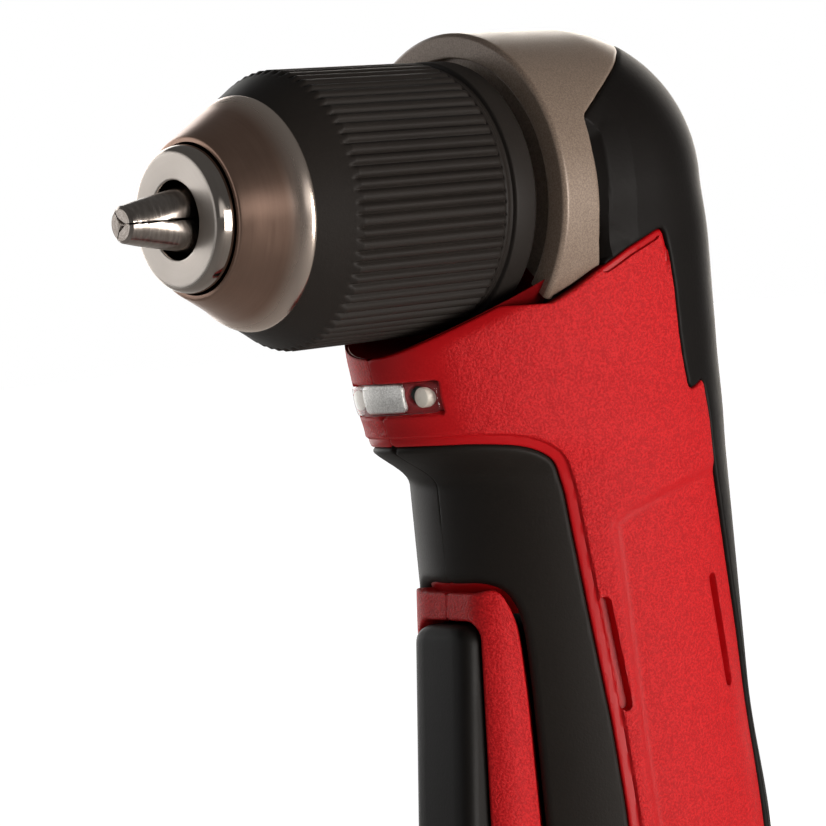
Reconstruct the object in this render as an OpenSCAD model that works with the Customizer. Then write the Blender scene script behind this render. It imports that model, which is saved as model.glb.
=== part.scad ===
// Right angle drill with a keyless chuck, a paddle switch and a slide-in battery.
// Origin: centre of the battery's flat base. +Z up the handle, chuck points along -Y.

/* [Head] */
// radius of the round head
head_r = 22.5; // [21:0.1:25]
// head front face ahead of the handle axis
head_front = 17; // [15:0.5:20]
// rear of the domed head behind the handle axis
head_rear = 23.6; // [21:0.2:26]
// fullness of the dome
dome_power = 2.05; // [1.8:0.05:2.6]

/* [Handle] */
// half width at the grip
grip_half_w = 20; // [19:0.1:23]
// grip front ahead of the handle axis
grip_front = 25.4; // [24:0.2:29]
// spine behind the handle axis
grip_back = 25; // [24:0.2:28]
// chin front under the chuck
chin_front = 34.2; // [32:0.2:37]
// half width at the battery foot
foot_half_w = 23; // [22:0.1:26]
// foot front ahead of the handle axis
foot_front = 26; // [25:0.2:30]
// soft skin thickness
skin_t = 1.8; // [1.2:0.1:2.4]
// moulded wall behind the skin
wall = 2.2; // [1.8:0.1:2.8]

/* [Chuck] */
// radius over the ribs
sleeve_r = 18.7; // [17.8:0.1:19.4]
// gap between head face and chuck
chuck_gap = 1; // [0.6:0.1:2]
// chuck length behind the nose
chuck_len = 47; // [45:0.5:50]
// rib pairs round the sleeve
rib_pairs = 36; // [24:1:48]
// radius of the jaw rods
jaw_r = 3; // [2.6:0.1:3.3]
// lean of the jaws to the chuck axis
jaw_lean = 13; // [11:0.5:15]
// length of one jaw
jaw_len = 30; // [26:0.5:32]
// jaw tip ahead of the nose
jaw_out = 8.5; // [5:0.5:10]
// radius over the closed jaw tips
jaw_tip_r = 2.36; // [2:0.1:2.8]
// largest shank radius
shank_r = 5; // [4:0.1:5.4]

/* [Gears] */
// bevel tooth size
bevel_m = 1.1; // [0.9:0.05:1.2]
// teeth on the spindle bevel gear
bevel_gear_n = 20; // [18:1:22]
// teeth on the bevel pinion
bevel_pinion_n = 14; // [12:1:16]
// planetary tooth size
planet_m = 0.6; // [0.55:0.01:0.64]
// ring gear teeth
ring_n = 48;
// sun teeth of the motor stage
sun_a_n = 12;
// sun teeth of the output stage
sun_b_n = 18;
// free play in the teeth
backlash = 0.2; // [0.1:0.02:0.3]

/* [Motor] */
// radius of the motor can
motor_r = 14.5; // [13:0.1:15]
// length of the motor can
motor_len = 55; // [46:1:68]

/* [Battery] */
// height of the battery base
base_h = 25.5; // [22:0.5:30]
// stem height above the base
stem_h = 70; // [67:0.5:90]
// free height between the stem and the terminal block
stem_gap = 1.8; // [1:0.1:6]
// radius of one cell
cell_r = 9.1; // [8.6:0.1:9.2]
// length of one cell
cell_len = 65; // [60:0.5:66]

/* [Paddle] */
// half width of the paddle
paddle_half_w = 6; // [5.7:0.1:6.6]
// paddle length below its pin
paddle_len = 84.6; // [76:0.2:100]
// paddle lean at rest
paddle_lean = 6.4; // [5:0.1:7]
// how far the paddle's red surround stands out in front of the grip
bezel_out = 3.2; // [2.4:0.1:3.6]
// radius of the paddle pin
pin_r = 1.5; // [1.2:0.1:1.8]

/* [Hidden] */
$fn = 64;
// overrun for cuts
over = 1;
// long reach for cutting through
reach = 60;
// gap between fixed pieces
seat = 0.1;
// running gap between moving pieces
run = 0.3;
// radial play of a shaft in its bore
fit = 0.05;
turns = [0, 120, 240];

// heights of the gear and motor stack, measured down from the chuck axis
bearing_drop = 15.5;
bearing_w = 6;
bearing_r = 9.5;
stage_gap = 0.4;
carrier_b_drop = bearing_drop + bearing_w + 2 * stage_gap;
carrier_b_t = 2.9;
planet_b_drop = carrier_b_drop + carrier_b_t + stage_gap;
planet_b_w = 6;
carrier_a_drop = planet_b_drop + planet_b_w + 2 * stage_gap;
carrier_a_t = 2.6;
planet_a_drop = carrier_a_drop + carrier_a_t + stage_gap;
planet_a_w = 5;
plate_drop = planet_a_drop + planet_a_w + 2 * stage_gap;
plate_t = 3;
motor_drop = plate_drop + plate_t;
cap_drop = motor_drop + motor_len;
cap_h = 8;

// switch bay below the motor: its shelf clears both the switch and the paddle's toe
paddle_top_drop = 59.4;
pin_below = 4;
bezel_lap = 7.4;
pin_drop = paddle_top_drop + pin_below;
switch_gap = 5.8;
switch_h = 37;
toe_room = 2.1;
shelf_drop = max(cap_drop + cap_h + switch_gap + switch_h + seat, pin_drop + paddle_len + toe_room);
shelf_t = 2;
switch_top_drop = shelf_drop - seat - switch_h;
switch_half_w = 9.5;
switch_front = 13;
switch_back = 13;
block_h = 7;
rib_t = 2;
motor_rib_shares = [0.12, 0.55, 0.94];
// the whole column sets the height of the chuck axis above the base
axis_z = base_h + stem_h + stem_gap + block_h + seat + shelf_t + shelf_drop;

// heights along the handle, measured down from the chuck axis
brow_drop = 9;
chin_top_drop = 19.5;
chin_drop = 26;
chin_low_drop = 32.5;
groove_drop = 40;
waist_drop = 110;
socket_h = stem_h + over;
foot_z = base_h + socket_h;

// one row per station: height, front, back, half width, front power, back power
soft_power = 2;
back_power = 2.3;
boxy_power = 2.5;
brow_power = 3;
flat_power = 12;
chin_round = 0.6;
swell = 0.3;
stations = [
  [base_h, foot_front, grip_back, foot_half_w, boxy_power, boxy_power],
  [foot_z, foot_front, grip_back, foot_half_w, boxy_power, boxy_power],
  [axis_z - waist_drop, grip_front, grip_back, grip_half_w, soft_power, back_power],
  [axis_z - paddle_top_drop, grip_front, grip_back, grip_half_w, soft_power, back_power],
  [axis_z - groove_drop, grip_front, grip_back, grip_half_w, soft_power, back_power],
  [axis_z - chin_low_drop, chin_front - chin_round, grip_back, grip_half_w + swell, soft_power,
    back_power],
  [axis_z - chin_drop, chin_front, grip_back, grip_half_w + swell, soft_power, back_power],
  [axis_z - chin_top_drop, chin_front - chin_round, grip_back, grip_half_w + 2 * swell, soft_power,
    back_power],
  [axis_z - brow_drop, head_front + over, (grip_back + head_rear) / 2, (grip_half_w + head_r) / 2,
    brow_power, back_power],
  [axis_z, head_front, head_rear, head_r, flat_power, dome_power]];

// steps between stations, chosen for how fast the form changes
step_counts = [1, 5, 1, 1, 5, 2, 2, 5, 4];
arc_steps = 9;

// surround of the paddle: share of its height from the top, share of its full stand-out
bezel_shares = [[0, 0.03], [0.065, 0.25], [0.185, 0.47], [0.345, 0.78], [0.58, 1], [0.83, 0.78], [1, -0.1]];
bezel_top_drop = paddle_top_drop - bezel_lap;
bezel_low_drop = shelf_drop + shelf_t;
bezel_flat = 4.4;
bezel_r = 5.4;
bezel_rear = 15;
bezel_steps = 5;
// row numbers used by the cuts
foot_row = 1;
groove_row = 8;
chin_low_row = 13;
chin_top_row = 17;

function blend(a, b, t) = a + (b - a) * (1 - cos(180 * t)) / 2;
function power_of(v, p) = v <= 0 ? 0 : pow(v, p);
// one half section from the front edge round the side to the back edge
function half_ring(s, off) = let(w = s[3] + off, f = s[1] + off, b = s[2] + off) concat(
  [for (i = [0 : arc_steps]) let(a = 90 * i / arc_steps)
    [w * power_of(sin(a), 2 / s[4]), -f * power_of(cos(a), 2 / s[4]), s[0]]],
  [for (i = [1 : arc_steps]) let(a = 90 * i / arc_steps)
    [w * power_of(cos(a), 2 / s[5]), b * power_of(sin(a), 2 / s[5]), s[0]]]);
function full_ring(s, off) = let(h = half_ring(s, off), n = len(h)) concat(h,
  [for (i = [n - 2 : -1 : 1]) [-h[i][0], h[i][1], h[i][2]]]);
// rows between two stations
function row_between(k, t) = [
  stations[k][0] + (stations[k + 1][0] - stations[k][0]) * t,
  for (j = [1 : 5]) blend(stations[k][j], stations[k + 1][j], t)];
rows = concat([for (k = [0 : len(step_counts) - 1]) each
  [for (i = [0 : step_counts[k] - 1]) row_between(k, i / step_counts[k])]],
  [stations[len(stations) - 1]]);

// closed solid through a stack of rings
module skin(rings) {
  n = len(rings[0]);
  m = len(rings);
  polyhedron([for (r = rings) each r], concat(
    [[for (i = [0 : n - 1]) i]],
    [[for (i = [n - 1 : -1 : 0]) (m - 1) * n + i]],
    [for (j = [0 : m - 2], i = [0 : n - 1]) let(k = (i + 1) % n)
      [j * n + i, (j + 1) * n + i, (j + 1) * n + k]],
    [for (j = [0 : m - 2], i = [0 : n - 1]) let(k = (i + 1) % n)
      [j * n + i, (j + 1) * n + k, j * n + k]]));
}
// left half of the raised red surround of the paddle
module bezel_half() {
  skin([for (i = [len(bezel_shares) - 1 : -1 : 0]) let(s = bezel_shares[i],
    z = axis_z - bezel_top_drop - s[0] * (bezel_low_drop - bezel_top_drop),
    front = grip_front + s[1] * bezel_out) concat([[0, -front, z]],
      [for (k = [0 : bezel_steps]) let(a = 90 * k / bezel_steps)
        [bezel_flat + bezel_r * sin(a), bezel_r - bezel_r * cos(a) - front, z]],
      [[bezel_flat + bezel_r, -bezel_rear, z], [0, -bezel_rear, z]])]);
}
// left half of the handle, grown by off, from row a to row b
module half_form(off, a = 0, b = len(rows) - 1) {
  skin([for (j = [a : b]) half_ring(rows[j], off)]);
}
module full_form(off, a, b) {
  skin([for (j = [a : b]) full_ring(rows[j], off)]);
}
// side view outline in y and height above the chuck axis, carried across the width
module side_cut(points, x0 = 0, x1 = reach) {
  translate([x0, 0, axis_z]) rotate([90, 0, 90]) linear_extrude(x1 - x0) polygon(points);
}
// frame of the chuck: local z runs forward from the handle axis
module on_chuck() { translate([0, 0, axis_z]) rotate([90, 0, 0]) children(); }
module ring(r1, r2, h) {
  difference() {
    cylinder(r = r1, h = h);
    translate([0, 0, -over]) cylinder(r = r2, h = h + 2 * over);
  }
}
// box from corner to corner
module span(a, b) { translate(a) cube([b[0] - a[0], b[1] - a[1], b[2] - a[2]]); }

// outlines in side view, as shares of the head radius
grey_shares = [[-0.8, -0.71], [-0.591, -0.622], [-0.453, -0.542], [-0.467, 0.222], [-0.453, 0.378],
  [-0.311, 0.533], [0.604, 0.969], [0.65, 1.05], [-0.8, 1.05]];
brow_shares = [[-1.9, 1.3], [-1.9, -0.62], [-0.762, -0.702], [-0.591, -0.622], [-0.453, -0.542],
  [-0.453, 1.3]];
strap_shares = [[-0.453, -0.542], [-0.467, 0.222], [-0.453, 0.378], [-0.311, 0.533], [0.604, 0.969],
  [0.65, 1.05], [1.5, 1.05], [1.5, -6.75], [0.93, -6.75], [0.8, -6.6], [0.76, -6.3], [0.76, -4.6],
  [0.72, -3.7], [0.63, -2.97], [0.551, -2.45], [0.489, -1.93], [0.453, -1.55], [0.409, -1.284],
  [0.324, -1.32], [0.24, -1.329], [0.218, -1.182], [0.187, -0.964], [0.173, -0.716], [0.116, -0.4],
  [0.076, -0.324], [-0.213, -0.427]];
grip_shares = [[-1.9, -1.49], [-1.351, -1.511], [-1.187, -1.524], [-0.982, -1.56], [-0.831, -1.627],
  [-0.751, -1.707], [-0.716, -1.84], [-0.698, -2.027], [-0.671, -2.307], [-0.644, -2.587],
  [-0.6, -3.022], [-0.56, -3.449], [-0.52, -4.3], [-0.52, -6.4], [-0.58, -6.6], [-0.7, -6.7],
  [-0.86, -6.7], [-0.93, -6.6], [-0.951, -6.4], [-0.951, -3.64], [-0.956, -2.88], [-0.969, -2.604],
  [-1, -2.476], [-1.036, -2.413], [-1.093, -2.378], [-1.9, -2.378]];
// the low ends of the outlines keep their place against the shelf
outline_low_share = -5;
shelf_share = 6.671111;
outline_shift = shelf_drop - shelf_share * head_r;
function sized(shares) = [for (s = shares)
  [s[0] * head_r, s[1] * head_r - (s[1] < outline_low_share ? outline_shift : 0)]];

// head as a solid of revolution about the chuck axis
front_bevel = 0.9;
dome_steps = 14;
function dome_r(v) = head_r * power_of(1 - power_of(v, dome_power), 1 / dome_power);
module head_form() {
  on_chuck() rotate_extrude() polygon(concat(
    [[0, head_front], [head_r - front_bevel, head_front], [head_r, head_front - front_bevel]],
    [for (i = [0 : dome_steps]) let(v = sin(90 * i / dome_steps)) [dome_r(v), -head_rear * v]]));
}
// room kept inside the head for the gear case
core_r = 17;
core_rear = 11.5;
boss_r = 10.5;
boss_rear = 18;
neck_r = 16.6;
neck_drop = 25.2;
module core_form(grow) {
  on_chuck() rotate_extrude() polygon([[0, head_front - over], [core_r + grow, head_front - over],
    [core_r + grow, -core_rear - grow], [boss_r + grow, -core_rear - grow],
    [boss_r + grow, -boss_rear - grow], [0, -boss_rear - grow]]);
  translate([0, 0, axis_z - neck_drop]) cylinder(r = neck_r + grow, h = neck_drop);
}
// chuck frame values, forward of the handle axis
chuck_rear = head_front + chuck_gap;
nose_f = chuck_rear + chuck_len;
trough_gap = 1.8;

// screws, paddle, selector and light places
screw_r = 1.5;
screw_head_r = 2.9;
screw_boss_r = 3.4;
screw_in = 6.2;
screw_top_drop = 52;
screw_mid_drop = 104;
screw_low_drop = shelf_drop + shelf_t + screw_boss_r - rib_t / 2;
// screw places: y and drop
screw_places = [[grip_back - screw_in, screw_top_drop], [grip_back - screw_in, screw_mid_drop],
  [grip_back - screw_in, screw_low_drop], [-foot_front + screw_in, screw_low_drop]];
// paddle place
pin_in = 4.9;
pin_y = pin_in - grip_front;
paddle_gap = 0.4;
pin_hold = 1.2;
pin_half = paddle_half_w + 2 * paddle_gap + pin_hold;
paddle_face = 7.8;
paddle_back = 0.5;
paddle_head = 3.9;
toe_gap = 3;
mouth_low_drop = pin_drop + paddle_len + toe_gap;
mouth_rear = 14;
plunger_share = 0.568;
plunger_r = 3;
paddle_shell = 1.8;
pad_half = 3.6;
pad_room = 2;
// the plunger meets the paddle above the end wall of its hollow
plunger_drop = min(switch_top_drop + plunger_share * switch_h,
  pin_drop + paddle_len - 2 * paddle_shell - pad_half - pad_room);
// selector place
selector_share = 0.405;
selector_drop = switch_top_drop + selector_share * switch_h;
knob_half = 4.5;
knob_h = 10;
knob_travel = 3;
knob_floor = 1.9;
stem_half = 2;
// battery stem outline
cell_wall = 1.3;
cell_x = 9.3;
cell_rear = 6;
cell_front = 10;
socket_gap = 0.4;
cells = [[cell_x, cell_rear], [-cell_x, cell_rear], [0, -cell_front]];
module stem_outline(grow) {
  hull() for (c = cells) translate(c) circle(r = cell_r + cell_wall + grow, $fn = 40);
}
// latch place
latch_front = 14;
latch_back = 4;
latch_low = 9;
latch_tab = 8;
latch_depth = 4.2;
latch_in = 2;
latch_gap = 0.35;
// light place
lens_half = 8.8;
lens_top_drop = 24.4;
lens_low_drop = 28.6;
lens_t = 2.2;
light_deep = 5.6;
light_room = chin_front - light_deep;
board_t = 1.2;
board_half = 8;
led_x = 5.9;
led_r = 1.3;
led_t = 0.7;

module screw_hole(y, drop, r, x0, x1) {
  translate([x0, y, axis_z - drop]) rotate([0, 90, 0]) cylinder(r = r, h = x1 - x0);
}
// inside of one half of the handle, with ribs and bosses left standing
module handle_room() {
  difference() {
    half_form(-skin_t - wall, foot_row, groove_row);
    for (k = motor_rib_shares) difference() {
      span([0, -reach, axis_z - motor_drop - k * motor_len], [reach, reach,
        axis_z - motor_drop - k * motor_len + rib_t]);
      translate([0, 0, -over]) cylinder(r = motor_r + seat, h = axis_z);
    }
    difference() {
      span([0, -reach, axis_z - shelf_drop - shelf_t], [reach, reach, axis_z - shelf_drop]);
      translate([0, 0, axis_z - shelf_drop - shelf_t - over]) cylinder(r = switch_half_w - rib_t,
        h = shelf_t + 2 * over);
    }
    difference() {
      span([0, -mouth_rear, axis_z - switch_top_drop + seat], [reach, reach,
        axis_z - switch_top_drop + seat + rib_t]);
      translate([0, 0, axis_z - switch_top_drop - over]) cylinder(r = switch_half_w - rib_t,
        h = rib_t + 2 * over);
    }
    for (p = screw_places) screw_hole(p[0], p[1], screw_boss_r, -over, reach);
    screw_hole(pin_y, pin_drop, pin_r + rib_t, paddle_half_w + 2 * paddle_gap, reach);
  }
}
// everything cut from both housing halves alike
module housing_cuts() {
  handle_room();
  core_form(seat);
  on_chuck() translate([0, 0, head_front - over]) cylinder(r = sleeve_r + trough_gap, h = reach);
  on_chuck() translate([0, 0, -over]) cylinder(r = core_r + seat, h = head_front + 2 * over);
  translate([0, 0, axis_z - motor_drop - seat]) cylinder(r = neck_r + seat,
    h = motor_drop - neck_drop + over);
  translate([0, 0, base_h - over]) linear_extrude(socket_h + 2 * over) stem_outline(socket_gap);
  span([-over, -reach, axis_z - mouth_low_drop], [paddle_half_w + paddle_gap, -mouth_rear,
    axis_z - paddle_top_drop + over]);
  span([-over, -reach, axis_z - lens_low_drop], [lens_half, -light_room + over, axis_z - lens_top_drop]);
  span([-over, -light_room, axis_z - chin_low_drop + over], [lens_half, -core_r,
    axis_z - chin_top_drop - 2 * over]);
  span([-over, grip_back - knob_floor, axis_z - selector_drop - knob_h / 2 - paddle_gap],
    [knob_half + knob_travel + paddle_gap, reach, axis_z - selector_drop + knob_h / 2 + paddle_gap]);
  span([-over, 0, axis_z - selector_drop - stem_half - paddle_gap],
    [stem_half + knob_travel + paddle_gap, reach, axis_z - selector_drop + stem_half + paddle_gap]);
  span([foot_half_w - latch_depth - latch_in, -latch_front - latch_gap, base_h - over],
    [reach, -latch_back + latch_gap, base_h + latch_tab + latch_gap]);
  screw_hole(pin_y, pin_drop, pin_r, -over, pin_half + seat);
  // panel slots
  for (s = slot_shares) side_cut([for (q = [[0, 0], [1, 0], [1, 1], [0, 1]])
    [(s[0] + (q[0] * slot_w_share + q[1] * slot_rake_share)) * head_r,
      (s[1] - q[1] * slot_len_share) * head_r]],
    grip_half_w - slot_deep_share * head_r, reach);
}
slot_shares = [[-0.56, -2.5], [0.32, -2.48]];
slot_w_share = 0.07;
slot_len_share = 0.67;
slot_rake_share = 0.08;
slot_deep_share = 0.16;

module housing_half() {
  difference() {
    union() {
      difference() {
        union() {
          half_form(0);
          bezel_half();
        }
        side_cut(sized(strap_shares));
        side_cut(sized(grip_shares));
        side_cut(sized(brow_shares));
      }
      half_form(-skin_t, 0, chin_top_row);
    }
    housing_cuts();
  }
}
module housing_left() {
  color("red") difference() {
    housing_half();
    for (p = screw_places) screw_hole(p[0], p[1], screw_r, -over, screw_grip);
  }
}
screw_grip = 9;
head_seat = 9.5;
module housing_right() {
  color("red") difference() {
    mirror([1, 0, 0]) housing_half();
    for (p = screw_places) {
      screw_hole(p[0], p[1], screw_r, -reach, over);
      screw_hole(p[0], p[1], screw_head_r + seat, -reach, -head_seat);
    }
  }
}
module strap_half() {
  difference() {
    union() {
      intersection() {
        half_form(0);
        side_cut(sized(strap_shares));
      }
      intersection() {
        head_form();
        side_cut(sized(strap_shares));
        span([0, -reach, axis_z], [reach, reach, axis_z + reach]);
      }
    }
    half_form(-skin_t, 0, chin_top_row);
    core_form(seat);
    span([-over, grip_back - knob_floor - over, axis_z - selector_drop - knob_h / 2 - paddle_gap],
      [knob_half + knob_travel + paddle_gap, reach, axis_z - selector_drop + knob_h / 2 + paddle_gap]);
  }
}
module strap_left() { color("#222222") strap_half(); }
module strap_right() {
  color("#222222") difference() {
    mirror([1, 0, 0]) strap_half();
    for (p = screw_places) screw_hole(p[0], p[1], screw_head_r + seat, -reach, -head_seat);
  }
}
module grip_half() {
  difference() {
    intersection() {
      half_form(0);
      side_cut(sized(grip_shares));
    }
    half_form(-skin_t, 0, chin_top_row);
    span([-over, -reach, axis_z - mouth_low_drop], [paddle_half_w + paddle_gap, -mouth_rear,
      axis_z - paddle_top_drop + over]);
    screw_hole(pin_y, pin_drop, pin_r + seat, -over, pin_half + seat);
  }
}
module grip_left() { color("#1c1c1c") grip_half(); }
module grip_right() {
  color("#1c1c1c") difference() {
    mirror([1, 0, 0]) grip_half();
    for (p = screw_places) screw_hole(p[0], p[1], screw_head_r + seat, -reach, -head_seat);
  }
}
// gear case
chamber_r = 12.6;
front_bearing_r = 10.5;
front_bearing_w = 5;
front_bearing_f = 10.5;
rear_bearing_r = 7.5;
rear_bearing_w = 5;
rear_bearing_f = 11;
mouth_r = 8;
recess_gap = 1.3;
recess_r = sleeve_r + recess_gap;
pinion_room_r = 8.9;
carrier_room_r = 13.4;
case_screw_back = 9;
case_screw_r = 1.6;
case_screw_head_r = 2.6;
case_screw_deep = 1.2;
case_socket_share = 1.5;
module gear_case() {
  color("silver") difference() {
    union() {
      intersection() {
        head_form();
        side_cut(sized(grey_shares), -reach, reach);
      }
      core_form(0);
    }
    on_chuck() {
      translate([0, 0, head_front - over]) cylinder(r = recess_r, h = 2 * over);
      translate([0, 0, -rear_bearing_f]) cylinder(r = chamber_r, h = rear_bearing_f + front_bearing_f);
      translate([0, 0, front_bearing_f - over]) cylinder(r = front_bearing_r, h = front_bearing_w + over);
      cylinder(r = mouth_r, h = head_front + over);
      translate([0, 0, -rear_bearing_f - rear_bearing_w]) cylinder(r = rear_bearing_r,
        h = rear_bearing_w + over);
    }
    translate([0, 0, axis_z - bearing_drop]) cylinder(r = pinion_room_r, h = bearing_drop);
    translate([0, 0, axis_z - bearing_drop - bearing_w]) cylinder(r = bearing_r, h = bearing_w);
    translate([0, 0, axis_z - neck_drop - over]) cylinder(r = carrier_room_r,
      h = neck_drop - bearing_drop - bearing_w + over);
    translate([0, case_screw_back - head_front, axis_z + chamber_r + over])
      cylinder(r = case_screw_r, h = reach);
    translate([0, case_screw_back - head_front, axis_z + head_r - 2 * case_screw_deep])
      cylinder(r = case_screw_head_r + seat, h = reach);
  }
}
module case_screw() {
  color("#333333") translate([0, case_screw_back - head_front, axis_z]) difference() {
    union() {
      translate([0, 0, chamber_r + 2 * over]) cylinder(r = case_screw_r,
        h = head_r - chamber_r - 2 * over - case_screw_deep);
      translate([0, 0, head_r - 2 * case_screw_deep]) cylinder(r = case_screw_head_r,
        h = case_screw_deep);
    }
    translate([0, 0, head_r - case_socket_share * case_screw_deep]) cylinder(r = case_screw_r,
      h = case_screw_deep, $fn = 6);
  }
}
// ball bearing: two rings, shields drawn as a thinner web
shield_in = 0.4;
module bearing(r1, r2, w) {
  t = (r1 - r2) / 4;
  rotate_extrude() polygon([[r2, 0], [r2 + t, 0], [r2 + t, shield_in], [r1 - t, shield_in],
    [r1 - t, 0], [r1, 0],
    [r1, w], [r1 - t, w], [r1 - t, w - shield_in], [r2 + t, w - shield_in], [r2 + t, w], [r2, w]]);
}
spindle_r = 6;
tail_r = 3;
waist_r = 4;
pinion_shaft_r = 4;
module front_bearing() {
  color("silver") on_chuck() translate([0, 0, front_bearing_f]) bearing(front_bearing_r,
    spindle_r + fit, front_bearing_w);
}
module rear_bearing() {
  color("silver") on_chuck() translate([0, 0, -rear_bearing_f - rear_bearing_w])
    bearing(rear_bearing_r, tail_r + fit, rear_bearing_w);
}
module pinion_bearing() {
  color("silver") translate([0, 0, axis_z - bearing_drop - bearing_w]) bearing(bearing_r,
    pinion_shaft_r + fit, bearing_w);
}
// light
module led_lens() {
  color("white") difference() {
    intersection() {
      full_form(0, chin_low_row, chin_top_row);
      span([-lens_half + seat, -reach, axis_z - lens_low_drop + seat], [lens_half - seat, 0,
        axis_z - lens_top_drop - seat]);
    }
    full_form(-lens_t, chin_low_row, chin_top_row);
  }
}
module leds() {
  color("white") for (x = [-led_x, led_x]) translate([x, -light_room + seat,
    axis_z - (lens_top_drop + lens_low_drop) / 2])
    rotate([90, 0, 0]) cylinder(r = led_r, h = led_t);
}
module led_board() {
  color("green") span([-board_half, -light_room + seat, axis_z - chin_low_drop + over],
    [board_half, -light_room + board_t, axis_z - chin_top_drop - 2 * over]);
}

// gear teeth
press_angle = 25;
deg = 180 / PI;
function inv(a) = tan(a) * deg - a;
// half thickness angle of a tooth at radius p, for n teeth of pitch radius r thinned by thin
function half_tooth(n, r, p, thin) = let(rb = r * cos(press_angle), q = max(p, rb))
  90 / n - thin / r * deg + inv(press_angle) - inv(acos(rb / q));
flank_shares = [0, 0.35, 0.7, 1];
function gear_points(n, m, low, high, thin) = let(r = n * m / 2, a = r - low, b = r + high)
  [for (i = [0 : n - 1]) each concat(
    [for (k = flank_shares) let(p = a + (b - a) * k, h = half_tooth(n, r, p, thin))
      p * [cos(360 * i / n - h), sin(360 * i / n - h)]],
    [for (j = [len(flank_shares) - 1 : -1 : 0]) let(p = a + (b - a) * flank_shares[j],
      h = half_tooth(n, r, p, thin))
      p * [cos(360 * i / n + h), sin(360 * i / n + h)]])];
add_share = 0.92;
low_share = 1.2;
module spur(n, w, bore, turn) {
  difference() {
    rotate([0, 0, turn]) linear_extrude(w)
      polygon(gear_points(n, planet_m, low_share * planet_m, add_share * planet_m, backlash / 4));
    if (bore > 0) translate([0, 0, -over]) cylinder(r = bore, h = w + 2 * over);
  }
}
planet_a_n = (ring_n - sun_a_n) / 2;
planet_b_n = (ring_n - sun_b_n) / 2;
arm_a = (sun_a_n + planet_a_n) * planet_m / 2;
arm_b = (sun_b_n + planet_b_n) * planet_m / 2;
// planet phase beside a sun with a tooth on the x axis
function planet_turn(sun_n, planet_n, a) = a + 180 + (sun_n * a - 180) / planet_n;
ring_phase_a = (planet_a_n * planet_turn(sun_a_n, planet_a_n, 0)) / ring_n;
ring_phase_b = (planet_b_n * planet_turn(sun_b_n, planet_b_n, 0)) / ring_n;
ring_mid_drop = carrier_a_drop + carrier_a_t / 2;
module ring_half(phase, top, low) {
  translate([0, 0, axis_z - low]) difference() {
    cylinder(r = neck_r, h = low - top);
    translate([0, 0, -over]) rotate([0, 0, phase]) linear_extrude(low - top + 2 * over)
      polygon(gear_points(ring_n, planet_m, add_share * planet_m, low_share * planet_m, -backlash / 4));
  }
}
module ring_gear() {
  color("silver") {
    ring_half(ring_phase_b, neck_drop, ring_mid_drop);
    ring_half(ring_phase_a, ring_mid_drop, plate_drop);
  }
}
planet_pin_r = 1.5;
carrier_r = 12.6;
module planet_b(k) {
  color("gray") rotate([0, 0, turns[k]]) translate([arm_b, 0, axis_z - planet_b_drop - planet_b_w])
    spur(planet_b_n, planet_b_w, planet_pin_r + fit, planet_turn(sun_b_n, planet_b_n,
      turns[k]) - turns[k]);
}
module planet_b_one() { planet_b(0); }
module planet_b_two() { planet_b(1); }
module planet_b_three() { planet_b(2); }
module planet_a(k) {
  color("gray") rotate([0, 0, turns[k]]) translate([arm_a, 0, axis_z - planet_a_drop - planet_a_w])
    spur(planet_a_n, planet_a_w, planet_pin_r + fit, planet_turn(sun_a_n, planet_a_n,
      turns[k]) - turns[k]);
}
module planet_a_one() { planet_a(0); }
module planet_a_two() { planet_a(1); }
module planet_a_three() { planet_a(2); }
module carrier_b() {
  color("dimgray") {
    translate([0, 0, axis_z - carrier_b_drop - carrier_b_t]) ring(carrier_r, pinion_shaft_r, carrier_b_t);
    for (a = turns) rotate([0, 0, a]) translate([arm_b, 0, axis_z - planet_b_drop - planet_b_w])
      cylinder(r = planet_pin_r, h = planet_b_w + stage_gap + carrier_b_t / 2);
  }
}
module carrier_a() {
  color("dimgray") {
    translate([0, 0, axis_z - carrier_a_drop - carrier_a_t]) cylinder(r = carrier_r, h = carrier_a_t);
    translate([0, 0, axis_z - carrier_a_drop - over]) spur(sun_b_n,
      carrier_a_drop - planet_b_drop + over, 0, 0);
    for (a = turns) rotate([0, 0, a]) translate([arm_a, 0, axis_z - planet_a_drop - planet_a_w])
      cylinder(r = planet_pin_r, h = planet_a_w + stage_gap + carrier_a_t / 2);
  }
}
shaft_r = 1.6;
module motor_pinion() {
  color("gray") translate([0, 0, axis_z - plate_drop]) spur(sun_a_n, plate_drop - planet_a_drop,
    shaft_r, 0);
}
// bevel pair: each tooth is a ruled solid whose edges meet at the crossing of the axes
bevel_cone = norm([bevel_gear_n, bevel_pinion_n]) * bevel_m / 2;
bevel_face_share = 0.33;
root_sink = 0.4;
bevel_mid_shares = [-0.4, 0.3];
bevel_steps = [-low_share * bevel_m - root_sink, bevel_mid_shares[0] * bevel_m,
  bevel_mid_shares[1] * bevel_m, add_share * bevel_m];
function bevel_at(lean,
  e) = bevel_cone / cos(atan(e / bevel_cone)) * [sin(lean + atan(e / bevel_cone)),
  cos(lean + atan(e / bevel_cone))];
function bevel_half(n, lean, e) = let(r = n * bevel_m / 2 / cos(lean))
  half_tooth(n / cos(lean), r, r + e, backlash / 4) / cos(lean);
function bevel_loop(n, lean, k) = concat(
  [for (e = bevel_steps) let(p = bevel_at(lean, e) * k, h = bevel_half(n, lean, e)) [p[0] * cos(h),
    -p[0] * sin(h), p[1]]],
  [for (j = [len(bevel_steps) - 1 : -1 : 0]) let(e = bevel_steps[j], p = bevel_at(lean, e) * k,
    h = bevel_half(n, lean, e))
    [p[0] * cos(h), p[0] * sin(h), p[1]]]);
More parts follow.
